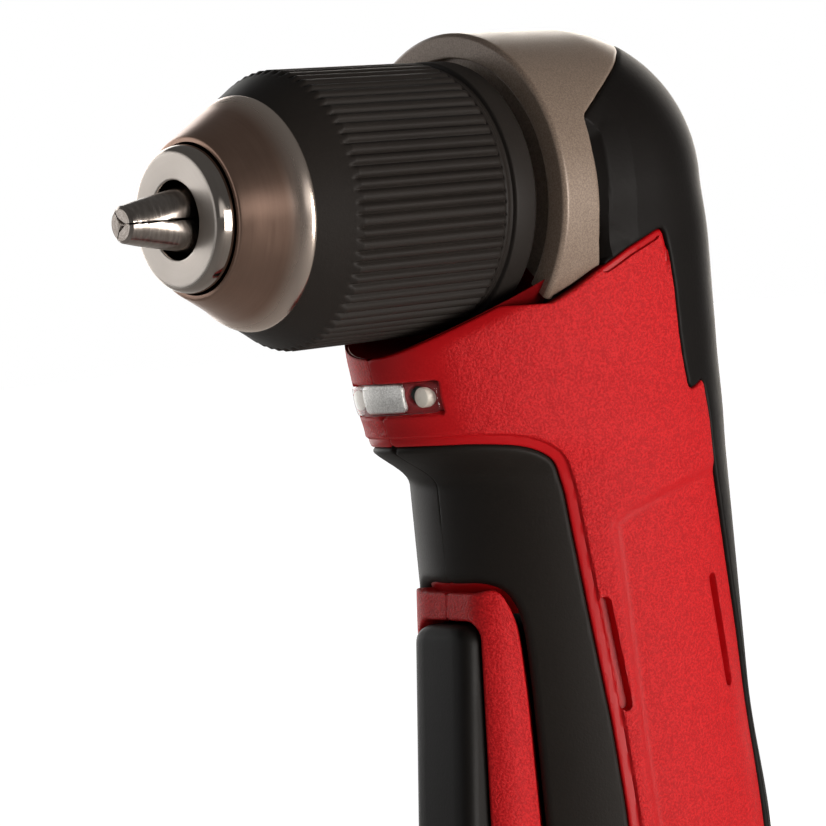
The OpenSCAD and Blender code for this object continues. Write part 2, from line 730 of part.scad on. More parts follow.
module bevel(n, lean, start, bore, back, hub) {
  root = bevel_at(lean, -low_share * bevel_m);
  small = 1 - bevel_face_share;
  difference() {
    union() {
      rotate_extrude() polygon([[0, root[1] * small], root * small, root, [hub,
        root[1] + over / 2], [hub, back], [0, back]]);
      for (i = [0 : n - 1]) rotate([0, 0, start + 360 * i / n])
        skin([bevel_loop(n, lean, small), bevel_loop(n, lean, 1)]);
    }
    if (bore > 0) cylinder(r = bore, h = back + over);
  }
}
gear_lean = atan(bevel_gear_n / bevel_pinion_n);
gear_hub_r = 9;
pinion_hub_r = 6;
pinion_back = 13.5;
module bevel_gear() {
  color("gray") on_chuck() bevel(bevel_gear_n, gear_lean, -90, spindle_r, front_bearing_f - seat,
    gear_hub_r);
}
shoulder_r = 5.2;
module bevel_pinion() {
  color("gray") translate([0, 0, axis_z]) rotate([180, 0, 0]) {
    bevel(bevel_pinion_n, 90 - gear_lean, 90 + 180 / bevel_pinion_n, 0, pinion_back, pinion_hub_r);
    translate([0, 0, pinion_back - over]) cylinder(r = shoulder_r,
      h = bearing_drop - pinion_back + over - seat);
    translate([0, 0, pinion_back - over]) cylinder(r = pinion_shaft_r,
      h = carrier_b_drop + carrier_b_t - pinion_back + over);
  }
}
// spindle and chuck
flange_r = 7.4;
thread_r = 4.76;
thread_len = 13;
web_t = 2.5;
screw_shaft_r = 2.5;
screw_top_r = 4;
screw_top_h = 3;
screw_len = 10;
module spindle() {
  f1 = chuck_rear + thread_len;
  color("gray") on_chuck() difference() {
    rotate_extrude() polygon([[0, -rear_bearing_f - rear_bearing_w], [tail_r,
      -rear_bearing_f - rear_bearing_w],
      [tail_r, -rear_bearing_f + seat], [waist_r, -rear_bearing_f + seat], [waist_r, waist_r],
        [spindle_r, waist_r + over],
      [spindle_r, front_bearing_f + front_bearing_w + seat], [flange_r,
        front_bearing_f + front_bearing_w + seat],
      [flange_r, chuck_rear], [thread_r, chuck_rear], [thread_r, f1], [0, f1]]);
    translate([0, 0, f1 - screw_len]) cylinder(r = screw_shaft_r, h = screw_len + over);
  }
}
module chuck_screw() {
  f1 = chuck_rear + thread_len;
  color("#444444") on_chuck() difference() {
    union() {
      translate([0, 0, f1 - screw_len]) cylinder(r = screw_shaft_r, h = screw_len + web_t + over / 2);
      translate([0, 0, f1 + web_t]) cylinder(r = screw_top_r, h = screw_top_h);
    }
    translate([0, 0, f1 + web_t + over]) cylinder(r = screw_shaft_r, h = screw_top_h, $fn = 6);
  }
}
tip_f = nose_f + jaw_out;
jaw_axis_r = jaw_tip_r - jaw_r / cos(jaw_lean);
// the first jaw's place round the axis, so that a seam faces the tool's left side
jaw_turn = 60;
module on_jaw(k) {
  on_chuck() rotate([0, 0, turns[k] + jaw_turn]) translate([jaw_axis_r, 0, tip_f]) rotate([0, -jaw_lean,
    0]) children();
}
// radius over the jaw backs at forward place f
function jaw_back(f) = jaw_tip_r + (tip_f - f) * tan(jaw_lean);
body_r = 13.2;
nut_back = 17;
nut_w = 6;
nut_front = nose_f - nut_back;
nut_rear = nut_front - nut_w;
neck_in = 7.9;
barrel_r = 9.7;
nose_flat_r = 8.6;
nose_round = 1.2;
nose_shares = [0.1, 0.4];
nose_edge = 2.3;
mouth_slack = 0.15;
module chuck_body() {
  f1 = chuck_rear + thread_len;
  color("silver") on_chuck() difference() {
    rotate_extrude() polygon([[0, chuck_rear], [body_r - over, chuck_rear], [body_r, chuck_rear + over],
      [body_r, nut_rear], [neck_in, nut_rear], [neck_in, nut_front], [barrel_r, nut_front],
      [barrel_r, nose_f - nose_edge], [barrel_r - nose_shares[0] * nose_round, nose_f - nose_round],
      [barrel_r - nose_shares[1] * nose_round, nose_f - nose_shares[1] * nose_round], [nose_flat_r,
        nose_f], [0, nose_f]]);
    translate([0, 0, chuck_rear - over]) cylinder(r = thread_r, h = thread_len + over);
    translate([0, 0, f1 - over]) cylinder(r = screw_shaft_r, h = web_t + 2 * over);
    translate([0, 0, f1 + web_t]) cylinder(r = shank_r + mouth_slack, h = nose_f);
    for (a = turns) rotate([0, 0, a + jaw_turn]) translate([jaw_axis_r, 0, tip_f]) rotate([0, -jaw_lean, 0])
      translate([0, 0, -reach]) cylinder(r = jaw_r + fit, h = reach);
  }
}
jaw_seam = 0.07;
module jaw(k) {
  apex = jaw_seam / sin(60);
  color("lightgray") intersection() {
    on_jaw(k) translate([0, 0, -jaw_len]) cylinder(r = jaw_r, h = jaw_len + 2 * over);
    on_chuck() rotate([0, 0, turns[k] + jaw_turn]) linear_extrude(tip_f)
      polygon([[apex, 0], [reach, (reach - apex) * tan(60)], [reach, -(reach - apex) * tan(60)]]);
  }
}
module jaw_a() { jaw(0); }
module jaw_b() { jaw(1); }
module jaw_c() { jaw(2); }
nut_r = 15;
module chuck_nut() {
  a = nut_rear + run;
  b = nut_front - run;
  color("gray") on_chuck() rotate_extrude() polygon([[jaw_back(a) + run, a], [nut_r, a], [nut_r,
    b], [jaw_back(b) + run, b]]);
}
lip_r = 10.65;
lip_back = 2.5;
rim_r = 15.45;
rim_back = 10.4;
rim_t = 0.8;
spigot = 4;
cone_in = barrel_r + run;
rim_f = nose_f - rim_back;
module chuck_cone() {
  color("tan") on_chuck() rotate_extrude() polygon([[cone_in, rim_f - spigot], [nut_r,
    rim_f - spigot], [nut_r, rim_f - rim_t],
    [rim_r, rim_f - rim_t], [rim_r, rim_f], [(rim_r + lip_r) / 2 - lip_hollow,
      (rim_f + nose_f - lip_back) / 2],
    [lip_r, nose_f - lip_back], [cone_in, nose_f - lip_back]]);
}
lip_hollow = 0.25;
collar_w = 3.8;
collar_gap = 0.6;
rib_rear_gap = 1.6;
rib_front_back = 4;
rib_deep = 0.6;
front_drop_shares = [0.02, 0.06, 0.13];
rib_shares = [[0, 1], [0.4, 1], [0.435, 0], [0.505, 0], [0.54, 1], [0.86, 1], [0.895, 0], [0.965, 0]];
module chuck_sleeve() {
  rear = chuck_rear + chuck_gap / 2;
  mid = rear + collar_w + rib_rear_gap;
  front = rim_f - rim_t;
  end = front - rib_front_back;
  color("#202020") on_chuck() {
    rotate_extrude() polygon([[nut_r, rear], [sleeve_r - over / 2, rear], [sleeve_r,
      rear + over / 2], [sleeve_r, rear + collar_w],
      [sleeve_r - collar_gap, rear + collar_w + seat], [sleeve_r - collar_gap,
        rear + collar_w + collar_gap],
      [sleeve_r - collar_gap / 2, rear + collar_w + 2 * collar_gap], [sleeve_r - collar_gap / 2,
        mid], [nut_r, mid]]);
    translate([0, 0, mid]) difference() {
      linear_extrude(end - mid) polygon([for (i = [0 : rib_pairs - 1]) each [for (q = rib_shares)
        (sleeve_r - rib_deep * (1 - q[1])) * [cos(360 * (i + q[0]) / rib_pairs),
          sin(360 * (i + q[0]) / rib_pairs)]]]);
      translate([0, 0, -over]) cylinder(r = nut_r, h = end - mid + 2 * over);
    }
    rotate_extrude() polygon([[nut_r, end], [sleeve_r * (1 - front_drop_shares[0]), end],
      [sleeve_r * (1 - front_drop_shares[1]), (end + 2 * front) / 3],
        [sleeve_r * (1 - front_drop_shares[2]), front], [nut_r, front]]);
  }
}

// motor
can_t = 1.2;
boss_h = 2;
motor_boss_r = 5;
module gearbox_plate() {
  color("gray") translate([0, 0, axis_z - motor_drop]) ring(neck_r, motor_boss_r + seat, plate_t);
}
module motor_can() {
  color("#555555") translate([0, 0, axis_z - cap_drop]) difference() {
    union() {
      cylinder(r = motor_r, h = motor_len);
      translate([0, 0, motor_len - over]) cylinder(r = motor_boss_r, h = boss_h + over);
    }
    translate([0, 0, -over]) cylinder(r = motor_r - can_t, h = motor_len - can_t + over);
    cylinder(r = shaft_r + fit, h = motor_len + boss_h + over);
  }
}
core_gap = 0.5;
motor_core_r = 9.6;
magnet_len_share = 0.6;
core_len_share = 0.48;
core_low_share = 0.2;
magnet_arc = 120;
module motor_magnets() {
  color("#333333") translate([0, 0, axis_z - cap_drop + core_low_share * motor_len])
    for (a = [0, 180]) rotate([0, 0, a - magnet_arc / 2]) rotate_extrude(angle = magnet_arc)
      polygon([[motor_core_r + core_gap, 0], [motor_r - can_t, 0], [motor_r - can_t,
        magnet_len_share * motor_len],
        [motor_core_r + core_gap, magnet_len_share * motor_len]]);
}
commutator_r = 4.4;
commutator_h = 7;
cap_lip = 3;
brush_w = 3;
module motor_cap() {
  lip_r1 = motor_r - can_t;
  color("#202020") translate([0, 0, axis_z - cap_drop - cap_h]) {
    difference() {
      union() {
        cylinder(r = motor_r, h = cap_h);
        translate([0, 0, cap_h - over]) cylinder(r = lip_r1, h = cap_lip + over);
      }
      translate([0, 0, cap_lip]) cylinder(r = lip_r1 - 2 * can_t, h = cap_h + cap_lip);
      translate([0, 0, -over]) cylinder(r = shaft_r + fit, h = cap_h);
    }
    for (a = [0, 180]) rotate([0, 0, a])
      span([commutator_r + seat, -brush_w / 2, cap_h + cap_lip / 2 - brush_w], [lip_r1 - can_t,
        brush_w / 2, cap_h + cap_lip / 2]);
  }
}
core_slots = 5;
slot_half = 1.2;
core_yoke = 4;
module motor_core() {
  color("#aa7733") translate([0, 0,
    axis_z - cap_drop + (core_low_share + magnet_len_share / 10) * motor_len]) difference() {
    cylinder(r = motor_core_r, h = core_len_share * motor_len);
    for (i = [0 : core_slots - 1]) rotate([0, 0, 360 * i / core_slots])
      span([core_yoke, -slot_half, -over], [reach, slot_half, motor_len]);
    translate([0, 0, -over]) cylinder(r = shaft_r, h = motor_len);
  }
}
module commutator() {
  color("#b87333") translate([0, 0, axis_z - cap_drop - commutator_h / 2]) ring(commutator_r,
    shaft_r, commutator_h);
}
fan_r = 9.4;
fan_h = 5;
fan_top = 2;
blade_n = 9;
blade_half = 0.5;
fan_hub_r = 4;
module motor_fan() {
  color("#303030") translate([0, 0, axis_z - motor_drop - can_t - fan_top - fan_h]) {
    ring(fan_r, shaft_r, over);
    ring(fan_hub_r, shaft_r, fan_h);
    for (i = [0 : blade_n - 1]) rotate([0, 0, 360 * i / blade_n]) span([fan_hub_r - over,
      -blade_half, 0], [fan_r, blade_half, fan_h]);
  }
}
module motor_shaft() {
  color("silver") translate([0, 0, axis_z - cap_drop - cap_h]) cylinder(r = shaft_r,
    h = cap_h + cap_drop - planet_a_drop);
}
// switch, terminals and controls
module switch_module() {
  base = axis_z - switch_top_drop - switch_h;
  color("#303030") difference() {
    span([-switch_half_w, -switch_front, base], [switch_half_w, switch_back, base + switch_h]);
    translate([0, -switch_front - over, axis_z - plunger_drop]) rotate([-90, 0, 0])
      cylinder(r = plunger_r + fit, h = switch_front + over);
    span([-stem_half - knob_travel - paddle_gap, switch_back - 2 * knob_travel,
      axis_z - selector_drop - stem_half - paddle_gap],
      [stem_half + knob_travel + paddle_gap, switch_back + over,
        axis_z - selector_drop + stem_half + paddle_gap]);
  }
}
// where the paddle's leaning inner face stands at the plunger's lower edge
plunger_y = pin_y + paddle_back / cos(paddle_lean) - (plunger_drop - pin_drop - plunger_r)
  * tan(paddle_lean) + seat;
plunger_in = 7;
module plunger() {
  color("white") translate([0, plunger_y, axis_z - plunger_drop]) rotate([-90, 0, 0])
    cylinder(r = plunger_r, h = -switch_front - plunger_y + plunger_in);
}
module selector() {
  z0 = axis_z - selector_drop;
  color("#181818") {
    difference() {
      span([-knob_half, grip_back - knob_floor + run / 2, z0 - knob_h / 2], [knob_half,
        grip_back + knob_floor, z0 + knob_h / 2]);
      for (k = [-1, 0, 1]) translate([0, grip_back + knob_floor, z0 + k * knob_floor]) rotate([0, 90, 0])
        cylinder(r = over / 2, h = reach, center = true, $fn = 16);
    }
    span([-stem_half, switch_back - knob_travel, z0 - stem_half], [stem_half, grip_back, z0 + stem_half]);
  }
}
block_half = 10;
block_deep = 8;
blade_x = [-6, -2, 2, 6];
blade_t = 0.4;
blade_w = 3;
blade_len = 5;
module terminal_block() {
  z1 = axis_z - shelf_drop - shelf_t - seat;
  color("#404040") {
    span([-block_half, -block_deep, z1 - block_h], [block_half, block_deep, z1]);
    for (x = blade_x) span([x - blade_t, -blade_w, z1 - block_h - blade_len], [x + blade_t,
      blade_w, z1 - block_h + over]);
  }
}
module housing_screws() {
  color("#333333") for (p = screw_places) difference() {
    union() {
      screw_hole(p[0], p[1], screw_r, -head_seat - over, screw_grip - over);
      screw_hole(p[0], p[1], screw_head_r, -head_seat - screw_r, -head_seat);
    }
    translate([-head_seat - screw_r - over, p[0], axis_z - p[1]]) rotate([0, 90, 0])
      cylinder(r = screw_r, h = 2 * over, $fn = 6);
  }
}
module paddle_pin() {
  color("silver") screw_hole(pin_y, pin_drop, pin_r, -pin_half, pin_half);
}
paddle_edge = 2;
paddle_corner = 2.8;
paddle_toe = 9;
module paddle() {
  root = paddle_len * tan(paddle_lean);
  inner = -paddle_face + 2 * paddle_shell;
  pad_z = pin_drop - plunger_drop;
  color("#222222") translate([0, pin_y, axis_z - pin_drop]) rotate([-paddle_lean, 0, 0]) difference() {
    union() {
      difference() {
        intersection() {
          // side outline: a wedge with a rounded head and toe
          translate([-reach, 0, 0]) rotate([90, 0, 90]) linear_extrude(2 * reach) union() {
            hull() {
              translate([-paddle_face + paddle_edge, paddle_head - paddle_edge]) circle(r = paddle_edge);
              translate([paddle_back - over, paddle_head - over]) circle(r = over);
              translate([root - over, -paddle_len + over]) circle(r = over);
              translate([-paddle_face, -paddle_len + paddle_toe]) square([paddle_edge, over]);
              translate([-paddle_face / 2, -paddle_len]) square([over, over]);
            }
            circle(r = pin_r + paddle_shell);
          }
          // front outline with rounded top corners
          translate([0, reach, 0]) rotate([90, 0, 0]) linear_extrude(2 * reach) hull() {
            for (x = [-1, 1]) translate([x * (paddle_half_w - paddle_corner),
              paddle_head - paddle_corner])
              circle(r = paddle_corner);
            translate([-paddle_half_w, -paddle_len - over]) square([2 * paddle_half_w, paddle_len / 2]);
          }
          // cross section with rounded front edges
          translate([0, 0, -paddle_len - over]) linear_extrude(paddle_len + paddle_head + 2 * over)
            hull() {
            for (x = [-1, 1]) translate([x * (paddle_half_w - paddle_edge),
              -paddle_face + paddle_edge]) circle(r = paddle_edge);
            translate([-paddle_half_w, 0]) square([2 * paddle_half_w, root + over]);
          }
        }
        span([-paddle_half_w + paddle_shell, inner, -paddle_len + 2 * paddle_shell],
          [paddle_half_w - paddle_shell, reach, -pin_r - 2 * paddle_shell]);
      }
      span([-pad_half, inner - over, pad_z - pad_half], [pad_half, paddle_back, pad_z + pad_half]);
    }
    translate([-reach, 0, 0]) rotate([0, 90, 0]) cylinder(r = pin_r + fit, h = 2 * reach);
  }
}
// battery
base_gap = 0.4;
bottom_round = 2.4;
base_inset = 0.3;
module base_form(top) {
  s = stations[0];
  rise = [[0, -bottom_round], [bottom_round, -base_inset], [top, -base_inset / 2]];
  skin([for (q = rise) [for (v = full_ring(s, q[1])) [v[0], v[1], q[0]]]]);
}
contact_deep = 7;
// the cells stand right below the contacts
cell_low = base_h + stem_h - contact_deep - seat - cell_len;
module battery_case() {
  color("#242424") difference() {
    union() {
      base_form(base_h - base_gap);
      translate([0, 0, base_h - base_gap - over]) linear_extrude(stem_h + base_gap + over)
        stem_outline(0);
    }
    for (c = cells) translate([c[0], c[1], cell_low]) cylinder(r = cell_r + fit, h = cell_len);
    for (m = [0, 1]) mirror([m, 0, 0]) span([foot_half_w - latch_depth - latch_in - latch_gap,
      -latch_front - latch_gap, latch_low - latch_gap],
      [reach, -latch_back + latch_gap, base_h + latch_tab + latch_gap]);
    for (x = blade_x) span([x - 2 * blade_t, -blade_w - run, cell_low + cell_len - over],
      [x + 2 * blade_t, blade_w + run, base_h + stem_h + over]);
  }
}
module battery_cells() {
  color("teal") for (c = cells) translate([c[0], c[1], cell_low]) cylinder(r = cell_r, h = cell_len);
}
module battery_contacts() {
  color("gold") for (x = blade_x) span([x - 2 * blade_t, -blade_w - run,
    base_h + stem_h - contact_deep], [x + 2 * blade_t, blade_w + run,
    base_h + stem_h - contact_deep + blade_t]);
}
grip_cut = 0.8;
module latch() {
  difference() {
    intersection() {
      base_form(base_h + latch_tab);
      span([foot_half_w - latch_depth, -latch_front, latch_low], [reach, -latch_back,
        base_h + latch_tab]);
    }
    for (k = [1, 3, 5]) span([foot_half_w - 2 * grip_cut, -latch_front - over,
      latch_low + k * bottom_round],
      [reach, -latch_back + over, latch_low + k * bottom_round + grip_cut]);
  }
}
module latch_left() { color("#303030") latch(); }
module latch_right() { color("#303030") mirror([1, 0, 0]) latch(); }

housing_left();
housing_right();
strap_left();
strap_right();
grip_left();
grip_right();
gear_case();
led_lens();
leds();
led_board();
front_bearing();
rear_bearing();
pinion_bearing();
ring_gear();
gearbox_plate();
motor_can();
motor_magnets();
motor_cap();
switch_module();
terminal_block();
housing_screws();
case_screw();
paddle_pin();
spindle();
bevel_gear();
chuck_body();
chuck_screw();
chuck_sleeve();
chuck_cone();
chuck_nut();
jaw_a();
jaw_b();
jaw_c();
bevel_pinion();
carrier_b();
planet_b_one();
planet_b_two();
planet_b_three();
carrier_a();
planet_a_one();
planet_a_two();
planet_a_three();
motor_shaft();
motor_core();
commutator();
motor_fan();
motor_pinion();
paddle();
plunger();
selector();
battery_case();
battery_cells();
battery_contacts();
latch_left();
latch_right();
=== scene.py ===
import math
import bpy
import numpy as np
from mathutils import Matrix


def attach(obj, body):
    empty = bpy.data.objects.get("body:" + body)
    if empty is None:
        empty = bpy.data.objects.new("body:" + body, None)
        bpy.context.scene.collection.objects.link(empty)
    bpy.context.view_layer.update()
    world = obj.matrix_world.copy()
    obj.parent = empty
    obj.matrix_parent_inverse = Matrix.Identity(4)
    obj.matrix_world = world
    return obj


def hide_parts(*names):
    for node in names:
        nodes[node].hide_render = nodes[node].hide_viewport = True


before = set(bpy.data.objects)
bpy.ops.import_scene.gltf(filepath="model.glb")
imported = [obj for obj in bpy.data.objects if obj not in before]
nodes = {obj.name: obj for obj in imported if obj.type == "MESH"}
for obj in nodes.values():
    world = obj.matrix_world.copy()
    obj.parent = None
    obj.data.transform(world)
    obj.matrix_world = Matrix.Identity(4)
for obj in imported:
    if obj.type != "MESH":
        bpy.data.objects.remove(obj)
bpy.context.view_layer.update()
mm = 0.001
axisZ = 256.5  # height of the chuck axis, mm like every size below
print("frame loaded,", len(nodes), "nodes")


# shader maths as plain expressions
class Wire:
    def __init__(self, tree, socket=None):
        self.tree, self.socket = tree, socket

    def add(self, kind, settings=None, inputs=None, out=0):
        node = self.tree.nodes.new(kind)
        for key, value in (settings or {}).items():
            setattr(node, key, value)
        for key, value in (inputs or {}).items():
            if isinstance(value, Wire):
                self.tree.links.new(value.socket, node.inputs[key])
            else:
                node.inputs[key].default_value = value
        return Wire(self.tree, node.outputs[out])

    def math(self, operation, a, b=0.0):
        return self.add("ShaderNodeMath", {"operation": operation}, {0: a, 1: b})

    def __add__(self, other): return self.math("ADD", self, other)
    def __radd__(self, other): return self.math("ADD", other, self)
    def __sub__(self, other): return self.math("SUBTRACT", self, other)
    def __rsub__(self, other): return self.math("SUBTRACT", other, self)
    def __mul__(self, other): return self.math("MULTIPLY", self, other)
    def __rmul__(self, other): return self.math("MULTIPLY", other, self)
    def __truediv__(self, other): return self.math("DIVIDE", self, other)
    def __neg__(self): return self.math("MULTIPLY", self, -1.0)

    def between(self, low, high):  # 0 at low, 1 at high, smooth
        return self.add("ShaderNodeMapRange", {"interpolation_type": "SMOOTHSTEP"},
                        {"Value": self, "From Min": low, "From Max": high})


def tone(r, g, b):  # screen colour 0 to 255 to linear
    return tuple((c / 255 / 12.92 if c < 10.3 else ((c / 255 + 0.055) / 1.055) ** 2.4) for c in (r, g, b))


def startFinish(name, fixed):
    finish = bpy.data.materials.new(name)
    finish.use_nodes = True
    shader = finish.node_tree.nodes["Principled BSDF"]
    for key, value in fixed.items():
        shader.inputs[key].default_value = (*value, 1) if isinstance(value, tuple) else value
    return finish, Wire(finish.node_tree), shader


def plug(shader, wires):
    for key, wire in wires.items():
        wire.tree.links.new(wire.socket, shader.inputs[key])


def place(wire):  # object coordinates in millimetres, so the scales below read as sizes
    spot = wire.add("ShaderNodeTexCoord", out=3)
    return wire.add("ShaderNodeVectorMath", {"operation": "SCALE"}, {0: spot, "Scale": 1000.0})


def noise(wire, spot, size, detail=2.0, rough=0.5):
    return wire.add("ShaderNodeTexNoise", {},
                    {"Vector": spot, "Scale": 1.0 / size, "Detail": detail, "Roughness": rough})


def mixTone(wire, factor, a, b):
    a, b = [(*c, 1) if isinstance(c, tuple) else c for c in (a, b)]
    return wire.add("ShaderNodeMix", {"data_type": "RGBA"}, {0: factor, 6: a, 7: b}, out=2)


def bump(wire, height, strength, depth):
    return wire.add("ShaderNodeBump", {}, {"Height": height, "Strength": strength, "Distance": depth * mm})


def mixed(layers, shares):
    return sum(layer * share for layer, share in zip(layers, shares))


# moulded plastics and rubber
plasticLook = {"redFlat": tone(182, 10, 18), "redPale": tone(222, 36, 39), "redRough": 0.36, "sparkRough": 0.14,
               "grainRough": 0.25, "redGrain": 0.34, "redCoarse": 1.3, "redBlotch": 19.0, "grainShares": (0.85, 0.15),
               "pits": (0.4, 0.62), "pitShade": 0.75, "pitDeep": 0.24, "blotchShade": 0.1, "blotchRise": 0.05,
               "cloud": 14.0, "dust": 2.6, "dusty": (0.66, 0.74), "softShade": (0.6, 0.3, 0.12),
               "softVary": (0.2, 0.12), "softBump": 0.35}


def redPlastic():
    k = plasticLook
    finish, wire, shader = startFinish("redGrain", {"IOR": 1.5, "Specular IOR Level": 0.2})
    spot = place(wire)
    grain = noise(wire, spot, k["redGrain"], 3.0, 0.6)
    coarse = noise(wire, spot, k["redCoarse"])
    blotch = noise(wire, spot, k["redBlotch"])
    # 1 on the sparked areas, 0 on smooth rims
    mask = wire.add("ShaderNodeAttribute", {"attribute_name": "grain"}, out=2)
    pits = mixed((grain, coarse), k["grainShares"])
    # the pale pits are the real spark-eroded grain and also a painted highlight, standing in for the grain's sparkle
    pale = pits.between(*k["pits"]) * mask * k["pitShade"] + blotch * k["blotchShade"]
    plug(shader, {"Base Color": mixTone(wire, pale, k["redFlat"], k["redPale"]),
                  "Roughness": k["redRough"] + mask * k["sparkRough"] + (grain - 0.5) * k["grainRough"],
                  "Normal": bump(wire, pits * mask + blotch * k["blotchRise"], 1.0, k["pitDeep"])})
    return finish


def softBlack(name, size, depth, rough, deep, pale):
    k = plasticLook
    finish, wire, shader = startFinish(name, {"IOR": 1.48, "Specular IOR Level": 0.16})
    spot = place(wire)
    grain = noise(wire, spot, size, 2.0, 0.6)
    cloud = noise(wire, spot, k["cloud"], 3.0)
    dust = noise(wire, spot, k["dust"], 4.0, 0.7).between(*k["dusty"])
    plug(shader, {"Base Color": mixTone(wire, mixed((cloud, grain, dust), k["softShade"]), deep, pale),
                  "Roughness": rough + mixed((cloud - 0.5, grain - 0.5), k["softVary"]),
                  "Normal": bump(wire, grain, k["softBump"], depth)})
    return finish


# turned metals: width, lean and length of the marks, size of the smudges, a zone along the axis, and the shares of
# marks, smudges and zone in the shade and in the roughness
turnedLook = {
    "jawSteel": {"tones": (tone(140, 130, 122), tone(196, 186, 178)), "wide": 0.25, "lean": 0.7, "long": 0.625,
                 "smudge": 7.0, "spread": (0.3, 0.75), "shade": (0.5, 0.3), "rough": 0.24, "vary": (0.16, 0.1),
                 "bump": (0.2, 0.02)},
    # coneBronze: its "rim" tone is a painted highlight, paler towards the cone's rear rim where the shoulder catches
    # the light
    "coneBronze": {"tones": (tone(140, 113, 98), tone(192, 158, 140)), "wide": 0.16, "lean": 0.7, "long": 0.4,
                   "smudge": 7.0, "zone": (57.4, 54.4), "shade": (0.3, 0.4), "rim": (0.8, tone(240, 224, 210)),
                   "rough": 0.32, "vary": (0.1, 0.1, -0.08), "bump": (0.15, 0.02)},
    "nosePolished": {"tones": (tone(158, 146, 136), tone(206, 198, 190)), "wide": 0.12, "lean": 0.0, "long": 0.3,
                     "smudge": 5.0, "zone": (64.85, 64.98), "shade": (0.25, 0.35, 0.4), "rough": 0.1,
                     "vary": (0.08, 0.06, 0.28), "bump": (0.12, 0.01)},
}


def turnedMetal(name):
    k = turnedLook[name]
    finish, wire, shader = startFinish(name, {"Metallic": 1.0})
    spot = place(wire)
    x, y, z = [wire.add("ShaderNodeSeparateXYZ", {}, {0: spot}, out=i) for i in range(3)]
    up, forward = z - axisZ, -y
    radius, angle = wire.math("SQRT", x * x + up * up), wire.math("ARCTAN2", up, x)
    across = (radius + forward * k["lean"]) / k["wide"]
    lines = wire.add("ShaderNodeCombineXYZ", {}, {0: across, 1: angle * 1.5, 2: forward / k["long"]})
    marks = noise(wire, lines, 1.0, 3.0, 0.6)  # drawn out round the axis
    smudge = noise(wire, spot, k["smudge"], 3.0)
    zone = forward.between(*k["zone"]) if "zone" in k else 0.0
    pattern = marks.between(*k["spread"]) if "spread" in k else marks
    shade = mixTone(wire, mixed((pattern, smudge, zone), k["shade"]), *k["tones"])
    # painted highlight: the cone's colour turns paler towards its rim
    if "rim" in k:
        shade = mixTone(wire, zone * k["rim"][0], shade, k["rim"][1])
    plug(shader, {"Base Color": shade, "Roughness": k["rough"] + mixed((marks - 0.5, smudge - 0.5, zone), k["vary"]),
                  "Normal": bump(wire, marks, *k["bump"])})
    return finish


# two noises: size, detail and roughness of each, then their shares of the shade, of the roughness, and the bump
blendLook = {
    "case": {"fine": (0.22, 2.0, 0.7), "wide": (3.2, 3.0), "spread": (0.3, 0.72), "shade": (0.8, 0.2),
             "vary": (0.3, 0.1), "bump": (0.25, 0.05)},
    "metal": {"fine": (0.5, 3.0, 0.6), "wide": (5.0,), "shade": (0.5, 0.5), "vary": (0.2,), "bump": (0.15, 0.03)},
    "matte": {"fine": (0.5, 2.0, 0.6), "wide": (9.0,), "shade": (0.4, 0.5), "vary": (0.2,), "bump": (0.25, 0.05)},
    "mirror": {"fine": (0.22, 3.0, 0.65), "wide": (3.0,), "spread": (0.3, 0.7), "shade": (0.8, 0.2),
               "vary": (0.2,), "bump": (0.6, 0.12)},
}


def blend(kind, name, dark, pale, rough, fixed, size=None):
    look = blendLook[kind]
    finish, wire, shader = startFinish(name, fixed)
    spot = place(wire)
    fine = noise(wire, spot, size or look["fine"][0], *look["fine"][1:])
    wide = noise(wire, spot, *look["wide"])
    pattern = fine.between(*look["spread"]) if "spread" in look else fine
    plug(shader, {"Base Color": mixTone(wire, mixed((pattern, wide), look["shade"]), dark, pale),
                  "Roughness": rough + mixed((fine - 0.5, wide - 0.5), look["vary"]),
                  "Normal": bump(wire, fine, *look["bump"])})
    return finish


def plainMetal(name, pale, dark, rough):
    return blend("metal", name, dark, pale, rough, {"Metallic": 1.0})


def mattePart(name, dark, pale, rough, size, shine=0.5):
    return blend("matte", name, dark, pale, rough, {"Specular IOR Level": shine}, size)


lensLook = {"frost": (0.9, 3.0, 0.6), "rough": 0.02, "vary": 0.08, "bump": (0.1, 0.03)}


def lensClear():
    k = lensLook
    finish, wire, shader = startFinish("lensClear", {"Base Color": (0.97, 0.98, 0.98), "IOR": 1.06,
                                                     "Transmission Weight": 1.0, "Coat Weight": 0.6})
    frost = noise(wire, place(wire), *k["frost"])
    plug(shader, {"Roughness": k["rough"] + frost * k["vary"], "Normal": bump(wire, frost, *k["bump"])})
    return finish


